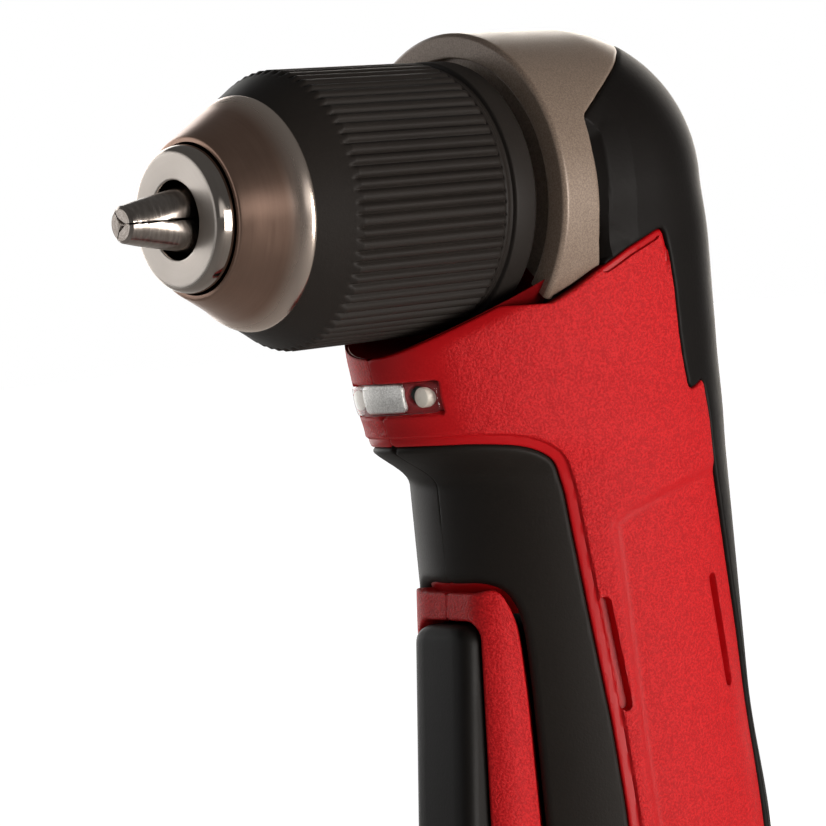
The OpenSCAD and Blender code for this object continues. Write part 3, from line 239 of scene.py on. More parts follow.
finishes = {
    "red": redPlastic(),
    "grip": softBlack("gripRubber", 0.35, 0.05, 0.55, tone(27, 23, 20), tone(40, 35, 31)),
    "strap": softBlack("strapRubber", 0.5, 0.06, 0.55, tone(15, 12, 10), tone(22, 18, 16)),
    "sleeve": softBlack("sleeveMatt", 0.3, 0.05, 0.52, tone(34, 30, 28), tone(49, 44, 40)),
    "control": softBlack("controlBlack", 0.4, 0.05, 0.46, tone(17, 15, 13), tone(25, 22, 20)),
    "pack": softBlack("packBlack", 0.45, 0.09, 0.5, tone(30, 29, 29), tone(43, 42, 41)),
    "case": blend("case", "caseSilver", tone(122, 104, 90), tone(162, 143, 127), 0.4,
                  {"Metallic": 0.18, "Coat Roughness": 0.3, "Coat Weight": 0.1}),
    "cone": turnedMetal("coneBronze"),
    "nose": turnedMetal("nosePolished"),
    "jaw": turnedMetal("jawSteel"),
    "steel": plainMetal("gearSteel", tone(178, 176, 172), tone(120, 118, 114), 0.32),
    "can": plainMetal("canSteel", tone(150, 150, 148), tone(110, 110, 108), 0.36),
    "copper": plainMetal("windingCopper", tone(196, 112, 70), tone(150, 78, 44), 0.35),
    "screw": plainMetal("screwBlack", tone(60, 58, 56), tone(34, 33, 32), 0.4),
    "board": mattePart("boardGreen", tone(30, 84, 52), tone(44, 104, 66), 0.45, 0.8),
    "led": mattePart("ledDome", tone(206, 196, 182), tone(228, 222, 210), 0.3, 0.4),
    "mirror": blend("mirror", "mirrorGrain", tone(176, 172, 168), tone(238, 236, 232), 0.34, {"Metallic": 0.5}),
    "pocket": mattePart("pocketRed", tone(112, 14, 18), tone(140, 24, 28), 0.4, 0.5, 0.3),
    # painted shade: the red plastic made darker and without shine, for the hollow under the chuck and the back of the
    # case, which lie in shade
    "hollow": mattePart("hollowRed", tone(96, 10, 13), tone(120, 16, 19), 0.9, 0.4, 0.0),
    "cell": mattePart("cellWrap", tone(32, 92, 108), tone(46, 112, 126), 0.4, 1.2),
    "dark": mattePart("darkPlastic", tone(40, 40, 40), tone(56, 56, 55), 0.55, 0.6),
    "plunger": mattePart("plungerWhite", tone(206, 204, 198), tone(222, 220, 214), 0.45, 0.6),
    "lens": lensClear(),
}
print("finishes made:", len(finishes))


def ringFaces(count, rows, base=0, closed=True):  # faces between rows of points, each row a ring or an open line
    faces = []
    for j in range(rows - 1):
        low, high = base + j * count, base + (j + 1) * count
        for i in range(count if closed else count - 1):
            k = (i + 1) % count
            faces.append([low + i, low + k, high + k, high + i])
    return faces


def makePiece(name, verts, faces, body, finish, hides=(), angle=38, grain=None):
    mesh = bpy.data.meshes.new(name)
    mesh.from_pydata((np.asarray(verts, float) * mm).tolist(), [], faces)
    if grain is not None:
        values = np.asarray(grain, np.float32)
        mesh.attributes.new("grain", "FLOAT", "POINT").data.foreach_set("value", values)
    mesh.validate()
    mesh.shade_smooth()
    mesh.set_sharp_from_angle(angle=math.radians(angle))
    mesh.materials.append(finish)
    piece = bpy.data.objects.new(name, mesh)
    bpy.context.scene.collection.objects.link(piece)
    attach(piece, body)
    if hides:
        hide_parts(*hides)
    return piece


# the body's form: sections like the solids', sampled finely, with a flatter back above 184
bodyForm = {
    # height, front, back, half width, front fullness, back fullness
    "stations": [(25.5, 26, 25, 23, 2.5, 2.5), (96.5, 26, 25, 23, 2.5, 2.5), (146.5, 25.4, 25, 20, 2, 2.3),
                 (160, 25.4, 25, 20, 2, 2.3), (184, 25.4, 22.5, 20, 2, 2.3), (196.5, 25.4, 22.5, 20, 2, 2.3),
                 (216.5, 25.4, 22.5, 20, 2, 2.3), (224, 33.4, 22.5, 20.3, 2, 2.3), (230.5, 34.9, 22.4, 20.3, 2, 2.3),
                 (237, 35.6, 22.3, 20.6, 2, 2.3), (247.5, 18, 21.9, 21.25, 3, 2.3), (256.5, 17, 21.4, 22.5, 12, 2.05)],
    "headR": 22.5, "headFront": 17, "headRear": 21.4, "domeFull": 2.05,
    "frontCols": 72, "backCols": 64,
}
headR = bodyForm["headR"]
quarter = np.linspace(0, math.pi / 2, 500)
sinQ, cosQ = np.sin(quarter), np.cos(quarter)
cosQ[-1] = 0


def sectionAt(z):
    stations = bodyForm["stations"]
    k = next((i for i in range(len(stations) - 1) if z <= stations[i + 1][0]), len(stations) - 2)
    a, b = stations[k], stations[k + 1]
    t = (1 - math.cos(math.pi * (z - a[0]) / (b[0] - a[0]))) / 2
    return [p + (q - p) * t for p, q in zip(a[1:], b[1:])]


def evenly(x, y, count):
    run = np.concatenate([[0], np.cumsum(np.hypot(np.diff(x), np.diff(y)))])
    want = np.linspace(0, run[-1], count)
    return np.interp(want, run, x), np.interp(want, run, y)


def aroundAxis(radius, forward, turns):
    return np.stack(np.broadcast_arrays(radius * np.cos(turns), -forward, axisZ + radius * np.sin(turns)), -1)


def sideView(grid):
    return grid[..., 0], grid[..., 1], grid[..., 2] - axisZ


def bodyGrid(heights, lifts=()):
    rows, n, m = [], bodyForm["frontCols"], bodyForm["backCols"]
    for z in heights:
        front, back, half, frontFull, backFull = sectionAt(z)
        fx, fy = evenly(half * sinQ ** (2 / frontFull), -front * cosQ ** (2 / frontFull), n)
        bx, by = evenly(half * cosQ ** (2 / backFull), back * sinQ ** (2 / backFull), m)
        x = np.concatenate([fx, bx[1:]])
        rows.append(np.stack([x, np.concatenate([fy, by[1:]]), np.full_like(x, z)], 1))
    full, front, rear = bodyForm["domeFull"], bodyForm["headFront"], bodyForm["headRear"]
    for lift in lifts:  # over the top of the head, turned about the chuck axis
        fx, fy = evenly(np.array([0, headR, headR]), np.array([-front, -front, 0]), n)
        bx, by = evenly(headR * (1 - sinQ ** full) ** (1 / full), rear * sinQ, m)
        r, y = np.concatenate([fx, bx[1:]]), np.concatenate([fy, by[1:]])
        rows.append(aroundAxis(r, -y, lift))
    return np.array(rows)


# raised surround of the paddle: share of its height from the top, share of its full stand-out
bezelForm = {"shares": [(0, 0.03), (0.065, 0.25), (0.185, 0.47), (0.345, 0.78), (0.58, 1), (0.83, 0.78), (1, -0.1)],
             "top": 52.0, "low": 152.1, "front": 25.4, "out": 3.2, "flat": 4.4, "round": 5.4, "rear": 15.0,
             "blend": 0.5, "begin": 3.5, "smooth": 0.03}


def withBezel(grid):  # pushes the front of the body out to the surround, seen from a line inside it
    b = bezelForm
    t = (axisZ - grid[:, 0, 2] - b["top"]) / (b["low"] - b["top"])
    share = np.mean([np.interp(t + k, *zip(*b["shares"])) for k in b["smooth"] * np.linspace(-1, 1, 7)], axis=0)
    reach = (b["front"] + share * b["out"] - b["rear"])[:, None]
    x, forward = grid[..., 0], -b["rear"] - grid[..., 1]
    far = np.hypot(x, forward) + 1e-9
    sx, sf = x / far, forward / far
    cx, cf, r = b["flat"], reach - b["round"], b["round"]
    along = sx * cx + sf * cf
    hit = along + np.sqrt(np.maximum(along ** 2 - cx ** 2 - cf ** 2 + r * r, 0))
    flat, side = reach / np.maximum(sf, 1e-6), (cx + r) / np.maximum(sx, 1e-6)
    hit = np.where(flat * sx <= cx, flat, np.where(side * sf <= cf, side, hit))
    gap = np.clip(0.5 + (hit - far) / (2 * b["blend"]), 0, 1)  # soft joining line
    joined = far + (hit - far) * gap + b["blend"] * gap * (1 - gap)
    inside = (forward > b["begin"]) & (t > 0)[:, None] & (t < 1)[:, None]
    new = np.where(inside, np.maximum(joined, far), far)
    out = grid.copy()
    out[..., 0], out[..., 1] = new * sx, -b["rear"] - new * sf
    return out


def segmentDistance(y, h, a, b):
    ey, eh = b[0] - a[0], b[1] - a[1]
    t = np.clip(((y - a[0]) * ey + (h - a[1]) * eh) / (ey * ey + eh * eh), 0, 1)
    return np.hypot(y - a[0] - t * ey, h - a[1] - t * eh)


def outlineDistance(y, h, outline):  # side view, positive inside
    inside, best = np.zeros(y.shape, bool), np.full(y.shape, 1e9)
    for a, b in zip(outline, outline[1:] + outline[:1]):
        best = np.minimum(best, segmentDistance(y, h, a, b))
        if b[1] != a[1]:
            cross = (b[0] - a[0]) * (h - a[1]) / (b[1] - a[1]) + a[0]
            inside ^= ((a[1] > h) != (b[1] > h)) & (y < cross)
    return np.where(inside, best, -best)


def flow(points, steps=5):  # smooth line through the points
    out = []
    for k in range(len(points) - 1):
        p = [np.array(points[min(max(i, 0), len(points) - 1)], float) for i in (k - 1, k, k + 1, k + 2)]
        for t in np.arange(steps) / steps:
            bend = (2 * p[0] - 5 * p[1] + 4 * p[2] - p[3]) * t ** 2 + (3 * p[1] - p[0] - 3 * p[2] + p[3]) * t ** 3
            out.append(tuple(0.5 * (2 * p[1] + (p[2] - p[0]) * t + bend)))
    return out + [tuple(points[-1])]


# outlines in side view: y and height above the chuck axis
outlines = {
    "caseRear": [(14.6, 23.6), (13.6, 21.8), (3.4, 17.3), (-0.7, 15.0), (-5.4, 12.2), (-8.0, 10.5), (-9.95, 9.2),
                 (-10.35, 8.6), (-10.45, 7.9), (-10.7, 4.0), (-10.55, -0.4), (-10.3, -5.6), (-9.9, -8.3),
                 (-9.3, -10.2), (-8.8, -11.5)],
    "near": [(-10.6, 9.0), (-9.0, 8.2), (-7.9, 6.7), (-8.0, 3.9), (-8.2, -2.8), (-7.7, -9.0), (-7.5, -11.0),
             (-14, -14), (-14, 9)],
    "far": [(-6.4, 12.0), (-4.6, 11.2), (-3.4, 8.5), (-3.5, 5.1), (-3.7, -0.4), (-3.2, -5.2), (-2.8, -9.5),
            (-14, -14), (-14, 12)],
    "browLow": [(-8.8, -11.5), (-10.2, -12.2), (-13.3, -14.0), (-17.15, -15.8)],
    "strapFront": [(-8.8, -11.5), (-4.8, -9.6), (0.9, -7.5), (1.7, -7.45), (2.25, -8.1), (2.6, -9.4), (3.9, -16.1),
                   (4.2, -21.7), (4.9, -26.6), (5.3, -29.4), (5.9, -29.95), (7.3, -29.7), (8.7, -29.0), (9.25, -29.4),
                   (10.2, -34.9), (11.0, -43.4), (12.4, -55.1), (14.2, -66.8), (16.2, -83.3), (17.1, -103.5),
                   (17.1, -141.8), (17.8, -148.0), (19.4, -151.0), (21.6, -151.9)],
    "gripRear": flow([(-42, -33.5), (-30.4, -34.0), (-26.7, -34.3), (-22.1, -35.1), (-18.7, -36.6), (-16.9, -38.4),
                      (-16.1, -41.4), (-15.7, -45.6), (-15.1, -51.9), (-14.5, -58.2), (-13.5, -68.0), (-12.6, -77.6),
                      (-11.7, -96.8), (-11.7, -144.0), (-13.0, -148.5), (-15.75, -150.8), (-19.3, -150.8),
                      (-20.9, -148.5), (-21.4, -144.0)]),
    "gripFront": flow([(-21.4, -144.0), (-21.4, -81.9), (-21.5, -64.8), (-21.8, -58.6), (-22.5, -55.7),
                       (-23.3, -54.3), (-24.6, -53.5), (-27, -53.5), (-42, -53.5)]),
}
outlines["strap"] = outlines["caseRear"] + outlines["strapFront"][1:] + [(36, -151.9), (36, 23.6)]
outlines["case"] = outlines["caseRear"] + outlines["browLow"][1:] + [(-19, -16), (-19, 23.6)]
outlines["brow"] = [(-10.2, 29)] + outlines["browLow"] + [(-43, -14), (-43, 29)]
outlines["grip"] = outlines["gripRear"] + outlines["gripFront"][1:]
outlines["panel"] = [(-10.6, -46.5), (-8.3, -44.8), (-1.7, -42.6), (6.8, -40.8), (30, -37), (30, -146), (-9.0, -146),
                     (-8.3, -96), (-9.4, -78)]


def gridSheet(grid, fields, slopes=(0.04, 25)):
    rows, cols = grid.shape[:2]
    du, dv = np.gradient(grid, axis=1), np.gradient(grid, axis=0)
    normal = np.cross(du, dv)
    normal /= np.linalg.norm(normal, axis=2, keepdims=True) + 1e-12
    e, f, g = (du * du).sum(2), (du * dv).sum(2), (dv * dv).sum(2)
    area, layers = np.maximum(e * g - f * f, 1e-9), [grid, normal]
    for d in fields.values():  # side view distance turned into distance over the surface
        a, b = np.gradient(d, axis=1), np.gradient(d, axis=0)
        slope = (g * a * a - 2 * f * a * b + e * b * b) / area
        layers.append((d / np.sqrt(np.clip(slope, *slopes)))[..., None])
    spots = np.arange(rows * cols).reshape(rows, cols)
    faces = np.stack([spots[:-1, :-1], spots[:-1, 1:], spots[1:, 1:], spots[1:, :-1]], 2).reshape(-1, 4).tolist()
    return {"points": np.concatenate(layers, 2).reshape(rows * cols, -1), "faces": faces,
            "names": {n: 6 + k for k, n in enumerate(fields)}}


def read(sheet, name):
    return sheet["points"][:, sheet["names"][name]]


def addField(sheet, name, values):
    sheet["names"][name] = sheet["points"].shape[1]
    sheet["points"] = np.concatenate([sheet["points"], values[:, None]], 1)


def splitSheet(sheet, name, level):  # puts an edge line where the field has that level
    points, values, made, extra, faces = sheet["points"], read(sheet, name), {}, [], []
    low = values < level - 1e-7
    for face in sheet["faces"]:
        flags = [low[i] for i in face]
        if all(flags) or not any(flags):
            faces.append(face)
            continue
        under, above = [], []
        for k, a in enumerate(face):
            b = face[(k + 1) % len(face)]
            (under if low[a] else above).append(a)
            if low[a] != low[b]:
                key = (min(a, b), max(a, b))
                if key not in made:
                    t = (level - values[key[0]]) / (values[key[1]] - values[key[0]])
                    made[key] = len(points) + len(extra)
                    extra.append(points[key[0]] + (points[key[1]] - points[key[0]]) * t)
                under.append(made[key])
                above.append(made[key])
        faces += [f for f in (under, above) if len(f) > 2]
    sheet["faces"] = faces
    if extra:
        sheet["points"] = np.vstack([points, extra])


def trimSheet(sheet, levels=(), margin=0.2):  # cuts along the keep line, then adds lines to round the edge with
    keep = read(sheet, "keep")
    sheet["faces"] = [f for f in sheet["faces"] if max(keep[i] for i in f) > -margin]
    splitSheet(sheet, "keep", 0.0)
    keep = read(sheet, "keep")
    sheet["faces"] = [f for f in sheet["faces"] if sum(keep[i] for i in f) / len(f) > 0]
    for level in levels:
        splitSheet(sheet, "keep", level)


def drop(d, radius):  # rounded edge: how far the surface falls at distance d inside it
    s = np.clip(radius - d, 0, radius)
    return radius - np.sqrt(radius * radius - s * s)


def ease(t):
    t = np.clip(t, 0, 1)
    return t * t * (3 - 2 * t)


def shell(sheet, lift, skirt):  # moves the sheet along its normals and turns its cut edges inwards
    used = sorted({i for f in sheet["faces"] for i in f})
    renumber = {old: k for k, old in enumerate(used)}
    points, raised, edge = sheet["points"][used], lift[used], read(sheet, "keep")[used]
    verts = points[:, :3] + points[:, 3:6] * raised[:, None]
    faces = [[renumber[i] for i in f] for f in sheet["faces"]]
    sides = dict.fromkeys((a, b) for f in faces for a, b in zip(f, f[1:] + f[:1]))
    rim = [(a, b) for a, b in sides if (b, a) not in sides and max(edge[a], edge[b]) < 1e-3]
    inner, walls = {}, []
    for a, b in rim:
        for i in (a, b):
            if i not in inner:
                inner[i] = len(verts) + len(inner)
        walls.append([b, a, inner[a], inner[b]])
    depth = np.broadcast_to(skirt, len(sheet["points"]))[used]
    deep = [verts[i] - points[i, 3:6] * depth[i] for i in inner]
    return np.vstack([verts, deep]) if deep else verts, faces + walls, used, list(inner)


def bothSides(name, made, finish, hides=True, grain=None):
    verts, faces = made[:2]
    for side, turn in (("Left", 1), ("Right", -1)):
        ring = [f if turn > 0 else f[::-1] for f in faces]
        hidden = (name + "_" + side.lower(),) if hides else ()
        makePiece(name + side, verts * (turn, 1, 1), ring, "housing", finish, hidden,
                  grain=grain[side] if isinstance(grain, dict) else grain)


# rows of the body, finer towards the head
bodyHeights = np.concatenate([np.linspace(25.5, 96.5, 14), np.arange(98, 168, 1.5), np.arange(168, 256.4, 0.6),
                              [axisZ]])
# heights here are above the chuck axis
bodyEdge = {"gap": 0.06, "seamGap": 0.03, "round": 0.4, "seamRound": 0.14, "skirt": 3.2,
            "rounding": (0.07, 0.18, 0.38),
            # lines laid along each step of the surface
            "lines": {"grip": (-1.55, -1.9, -2.3), "strap": (-0.95, -1.13), "slot": (-0.12, 0.06, 0.22)},
            "rimWide": 1.9, "rimIn": 0.35, "rimFade": 0.45, "rimLow": 0.4,
            "stepWide": 0.95, "stepFade": 0.18, "stepRear": 2.6, "stepFrom": -13, "stepLow": 0.35,
            "panelOut": 0.2, "panelFade": 2.6, "panelLow": 0.5, "slopeBare": 0.8,
            "bezelGap": 0.5, "bezelFront": -19.5, "bezelFrom": -47,
            "bezelTop": 0.5, "topHalf": 9, "topFade": 4, "topFrom": -57,
            "slotDeep": 1.3, "slotHalf": 0.75, "slotOut": 0.12, "slotFade": 0.34, "slotBare": 0.3,
            "slots": [((-12.3, -57.5), (-10.7, -71.9)), ((7.6, -57), (9.5, -71.8))],
            "mouthHalf": 6.4, "mouthTop": -58.4, "mouthLow": -151.0, "mouthCorner": 2.5,
            "lensHalf": 9.1, "lensTop": -24.7, "lensLow": -29.2,
            "troughR": 21.0, "troughFront": -16, "troughEdge": 0.5, "troughSkirt": 0.15,
            "troughBare": 1, "troughFade": 1.6,
            "latchFront": -14.35, "latchBack": -3.65, "latchTop": 33.85 - axisZ, "latchIn": 8,
            "chinFront": -18, "chinLow": -38, "chinShadeEnd": 9, "chinFade": 3, "chinShadeGrain": 0.2}
away = 5.0  # distance given to the side of the body that has no opening


def roundedBox(x, h, half, top, r):  # rounded corners at half and top, positive inside
    qx, qh = x - (half - r), h - (top - r)
    return r - np.hypot(np.maximum(qx, 0), np.maximum(qh, 0)) - np.minimum(np.maximum(qx, qh), 0)


def onBezel(points):
    return (points[:, 1] < bodyEdge["bezelFront"]) & (points[:, 2] < axisZ + bodyEdge["bezelFrom"])


def redShells():
    s = bodyEdge
    grid = withBezel(bodyGrid(bodyHeights))
    x, y, h = sideView(grid)
    lens = [s["lensHalf"] - x, h - s["lensLow"], s["lensTop"] - h, np.where(y < 0, away, -away)]
    latch = [y - s["latchFront"], s["latchBack"] - y, s["latchTop"] - h, x - s["latchIn"]]
    mouth = np.minimum(roundedBox(x, h, s["mouthHalf"], s["mouthTop"], s["mouthCorner"]), h - s["mouthLow"])
    fields = {name: outlineDistance(y, h, outlines[name]) for name in ("strap", "grip", "brow", "panel")}
    fields |= {"trough": np.minimum(s["troughR"] - np.hypot(x, h), s["troughFront"] - y),
               "lens": np.minimum.reduce(lens), "mouth": np.where(y < 0, mouth, -away),
               "latch": np.minimum.reduce(latch), "seam": x,
               "slot": s["slotHalf"] - np.minimum(*[segmentDistance(y, h, a, b) for a, b in s["slots"]])}
    sheet = gridSheet(grid, fields)
    p = sheet["points"]
    atTop = ease((s["topHalf"] - p[:, 0]) / s["topFade"]) * (p[:, 2] > axisZ + s["topFrom"])
    extra = {"grip": np.where(onBezel(p), s["bezelGap"] + s["bezelTop"] * atTop, 0.0)}
    cuts = ("strap", "grip", "brow", "trough", "lens", "mouth", "latch")
    edge = np.minimum.reduce([-read(sheet, c) - s["gap"] - extra.get(c, 0.0) for c in cuts])
    addField(sheet, "edge", edge)
    addField(sheet, "keep", np.minimum(edge, read(sheet, "seam") - s["seamGap"]))
    trimSheet(sheet, s["rounding"])
    for name, levels in s["lines"].items():
        for level in levels:
            splitSheet(sheet, name, level)
    p, toSlot, toTrough = sheet["points"], read(sheet, "slot"), -read(sheet, "trough")
    rim = 1 - ease((-read(sheet, "grip") - s["rimWide"] + s["rimIn"]) / s["rimFade"])
    rim = np.where(onBezel(p), 0, rim)
    besideCase = (p[:, 1] < s["stepRear"]) & (p[:, 2] > axisZ + s["stepFrom"])
    step = (1 - ease((-read(sheet, "strap") - s["stepWide"]) / s["stepFade"])) * besideCase
    inPanel = ease((read(sheet, "panel") + s["panelOut"]) / s["panelFade"])
    lift = -np.maximum(drop(np.maximum(read(sheet, "edge"), 0), s["round"]), drop(read(sheet, "seam"), s["seamRound"]))
    lift -= s["rimLow"] * rim + s["stepLow"] * step + s["panelLow"] * inPanel
    lift -= s["slotDeep"] * ease((toSlot + s["slotOut"]) / s["slotFade"])
    slope = 4 * inPanel * (1 - inPanel)
    inSlot = ease((toSlot + s["slotBare"]) / s["slotBare"])
    grain = np.clip(1 - rim - step - s["slopeBare"] * slope - inSlot, 0, 1)
    # painted shade: on the near (Left) half the pale grain mostly goes round the light and along the hollow, where that
    # side of the chin is in shade; the Right half keeps all its grain
    chin = (p[:, 1] < s["chinFront"]) & (p[:, 2] > axisZ + s["chinLow"])
    smooth = s["chinShadeGrain"] + (1 - s["chinShadeGrain"]) * ease((p[:, 0] - s["chinShadeEnd"]) / s["chinFade"])
    smooth *= ease((toTrough - s["troughBare"]) / s["troughFade"])
    grains = {"Left": grain * np.where(chin, smooth, 1), "Right": grain}
    made = shell(sheet, lift, np.where(toTrough < s["troughEdge"], s["troughSkirt"], s["skirt"]))
    grains = {side: np.concatenate([g[made[2]], np.zeros(len(made[3]))]) for side, g in grains.items()}
    bothSides("housing", made, finishes["red"], grain=grains)
    print("red shells:", len(made[1]), "faces each")


# near and far: how steeply the head cover falls towards the case beyond each fold, and how far out
strapLook = {"near": (0.9, 2.4), "far": (0.13, 5), "foldLines": (-0.18, 0.0, 0.18, 0.6), "round": 0.5, "skirt": 2.5,
             "rounding": (0.1, 0.25, 0.5), "domeRows": 64, "knobHalf": 9.4, "knobLow": -134, "knobTop": -122}


def strapShells():
    s = strapLook
    grid = bodyGrid(bodyHeights, np.linspace(0, math.pi / 2, s["domeRows"])[1:])
    x, y, h = sideView(grid)
    fields = {name: outlineDistance(y, h, outlines[name]) for name in ("strap", "near", "far")}
    fields["knob"] = np.minimum.reduce([s["knobHalf"] - x, h - s["knobLow"], s["knobTop"] - h, y])
    sheet = gridSheet(grid, {**fields, "seam": x})
    addField(sheet, "keep", np.minimum.reduce([read(sheet, "strap") - bodyEdge["gap"], -read(sheet, "knob"),
                                               read(sheet, "seam") - bodyEdge["seamGap"]]))
    trimSheet(sheet, s["rounding"])
    for name in ("near", "far"):
        for level in s["foldLines"]:
            splitSheet(sheet, name, level)
    fold = sum(s[name][0] * np.clip(read(sheet, name), 0, s[name][1]) for name in ("near", "far"))
    made = shell(sheet, -drop(read(sheet, "keep"), s["round"]) - fold, s["skirt"])
    bothSides("strap", made, finishes["strap"])
    print("strap shells:", len(made[1]), "faces each")


gripLook = {"seamGap": 0.02, "round": 0.6, "seamRound": 0.12, "bezelRound": 1.4, "skirt": 2.4,
            "rounding": (0.1, 0.3, 0.6, 1.0, 1.4), "bezelFront": -18.5, "bezelFrom": -45}


def gripShells():
    s = gripLook
    grid = bodyGrid(bodyHeights)
    x, y, h = sideView(grid)
    sheet = gridSheet(grid, {"grip": outlineDistance(y, h, outlines["grip"]), "seam": x})
    addField(sheet, "keep", np.minimum(read(sheet, "grip") - bodyEdge["gap"], read(sheet, "seam") - s["seamGap"]))
    trimSheet(sheet, s["rounding"])
    p, edge = sheet["points"], read(sheet, "grip")
    bezelSide = (p[:, 1] < s["bezelFront"]) & (p[:, 2] < axisZ + s["bezelFrom"])
    fall = np.maximum(drop(np.maximum(edge - bodyEdge["gap"], 0), s["round"]),
                      drop(read(sheet, "seam"), s["seamRound"]))
    made = shell(sheet, -np.where(bezelSide, drop(np.maximum(edge, 0), s["bezelRound"]), fall), s["skirt"])
    bothSides("grip", made, finishes["grip"])
    print("grip shells:", len(made[1]), "faces each")


troughLook = {"turns": (-150, -30, 130), "fronts": (15.9, 36.6, 66), "scale": 20}  # from, to, count


def trough():  # the hollow under the chuck, kept where it lies inside the body, its darker finish painted shade
    turns, r = np.radians(np.linspace(*troughLook["turns"])), bodyEdge["troughR"]
    grid = aroundAxis(r, np.linspace(*troughLook["fronts"]), turns[:, None])
    x, y, z = np.moveaxis(grid, 2, 0)
    front, _, half, full, _ = np.array([sectionAt(level) for level in z[:, 0]]).T[..., None]
    inside = troughLook["scale"] * (1 - ((np.abs(x) / half) ** full + (-y / front) ** full) ** (1 / full))
    sheet = gridSheet(grid, {"keep": inside})
    trimSheet(sheet)
    verts, faces = shell(sheet, np.zeros(len(sheet["points"])), 0.0)[:2]
    makePiece("chinTrough", verts, faces, "housing", finishes["hollow"])


# sunk strips that close the gap over the paddle's surround and the parting line
stripLook = {"bezelHeights": (198.5, 206.5, 0.4), "bezelRear": -12.0, "bezelSunk": 0.9, "fadeTo": 1.6,
             "fadeTop": 203.5, "fade": 3.5, "bezelSkirt": 0.5,
             "lipHeights": (25.6, 104.5, 30), "lipHalf": 1.6, "lipSunk": 1.5, "lipSkirt": 0.4}


def sunkStrip(name, grid, keep, sunk, skirt):
    sheet = gridSheet(grid, {"keep": keep})
    trimSheet(sheet)
    made = shell(sheet, -sunk(sheet["points"][:, 2]), skirt)
    bothSides(name, made, finishes["red"], False, np.zeros(len(made[0])))


def bezelFloor():
    s = stripLook
    grid = bodyGrid(np.arange(*s["bezelHeights"]))
    sunk = lambda z: s["bezelSunk"] + s["fadeTo"] * ease((s["fadeTop"] - z) / s["fade"])
    sunkStrip("bezelFloor", grid, s["bezelRear"] - grid[..., 1], sunk, s["bezelSkirt"])


def seamLip():  # no light comes through the parting line when the battery is out
    s = stripLook
    grid = bodyGrid(np.linspace(*s["lipHeights"]))
    sunkStrip("seamLip", grid, s["lipHalf"] - grid[..., 0], lambda z: np.full_like(z, s["lipSunk"]), s["lipSkirt"])


redShells()
bezelFloor()
seamLip()
strapShells()
gripShells()
trough()


# turned pieces about the chuck axis: a line of forward distance and radius
def softLine(points, steps=5):  # each point: forward, radius, corner rounding
    out = []
    for k, point in enumerate(points):
        here, r = np.array(point[:2], float), point[2] if len(point) > 2 else 0
        if not r or k in (0, len(points) - 1):
            out.append(tuple(here))
            continue
        a, b = np.array(points[k - 1][:2], float) - here, np.array(points[k + 1][:2], float) - here
        la, lb = np.linalg.norm(a), np.linalg.norm(b)
        cut = min(r, 0.49 * la, 0.49 * lb)
        p, q = here + a / la * cut, here + b / lb * cut
        for t in np.linspace(0, 1, steps + 1):
            out.append(tuple((1 - t) ** 2 * p + 2 * t * (1 - t) * here + t ** 2 * q))
    return out


def lathe(name, line, body, finish, hides=(), count=160, span=(0, 360), angle=38):
    closed = span[1] - span[0] >= 360
    turns = np.radians(np.linspace(*span, count + 1))
    if closed:
        turns = turns[:-1]
    line = np.array(line)
    verts = aroundAxis(line[:, 1:2], line[:, :1], turns).reshape(-1, 3)
    makePiece(name, verts, ringFaces(len(turns), len(line), closed=closed), body, finish, hides, angle)


chuck = {"noseF": 65.0, "noseR": 9.7, "flatR": 8.6, "noseEdge": 2.0,
         # lines of forward distance, radius and rounding
         "hub": [(18, 4.76), (18, 12.2), (19, 13.2), (42, 13.2), (42, 7.9), (48, 7.9), (48, 9.7)],
         "face": [(65.0, 8.4), (65.0, 5.15, 0.35), (33.5, 5.15), (33.5, 2.5)],
         "bell": [(50.6, 10.0), (50.6, 14.6), (53.7, 14.6), (53.7, 15.45, 0.15), (54.3, 15.6, 0.4), (55.2, 15.18, 0.6),
                  (56.2, 14.3, 0.9), (59, 12.6, 1.2), (62.5, 10.65, 0.3), (62.5, 10.0), (50.6, 10.0)],
         "collar": [(18.5, 15.0), (18.5, 18.7, 0.6), (22.25, 18.7, 0.25), (22.45, 18.1, 0.1), (22.95, 18.1, 0.1),
                    (23.4, 18.35, 0.2), (23.75, 18.35)],
         "chamfer": [(48.4, 18.7), (49.1, 18.3), (50.5, 17.45), (53.9, 15.5)], "sleeveR": 18.7, "sleeveBore": 15.0,
         "ribRear": 23.9, "ribEnd": 49.95, "ribDeep": 0.6, "ribRise": 0.15, "ribRound": 0.7, "runOut": 0.02,
         "pairs": 36, "ribStart": (0, 0.06, 0.16, 0.3, 0.5, 0.8), "ribRows": (26, 47.5, 12),
         "endRows": (48.1, 49.9, 0.15)}


def chuckPieces():
    c = chuck
    edge = [(c["noseF"] - c["noseEdge"] * (1 - math.sin(a)), c["flatR"] + (c["noseR"] - c["flatR"]) * math.cos(a))
            for a in np.linspace(0, math.pi / 2, 12)]
    lathe("noseRing", softLine(c["hub"] + edge + c["face"], 8), "spindle_set", finishes["nose"],
          ("chuck_body",), 200, angle=50)
    lathe("coneBell", softLine(c["bell"], 4), "sleeve_set", finishes["cone"], ("chuck_cone",), 220)
    sleeve()


# one pair of ribs: share of the pitch, share of the rib's height
ribProfile = [(0.02, 0.72), (0.08, 0.92), (0.14, 1), (0.22, 1), (0.29, 0.93), (0.35, 0.74), (0.4, 0.42), (0.43, 0.16),
              (0.46, 0.02), (0.49, 0.1), (0.52, 0.42), (0.57, 0.74), (0.63, 0.94), (0.69, 1), (0.75, 0.96), (0.81, 0.8),
              (0.86, 0.5), (0.9, 0.18), (0.935, 0.02), (0.97, 0.28)]


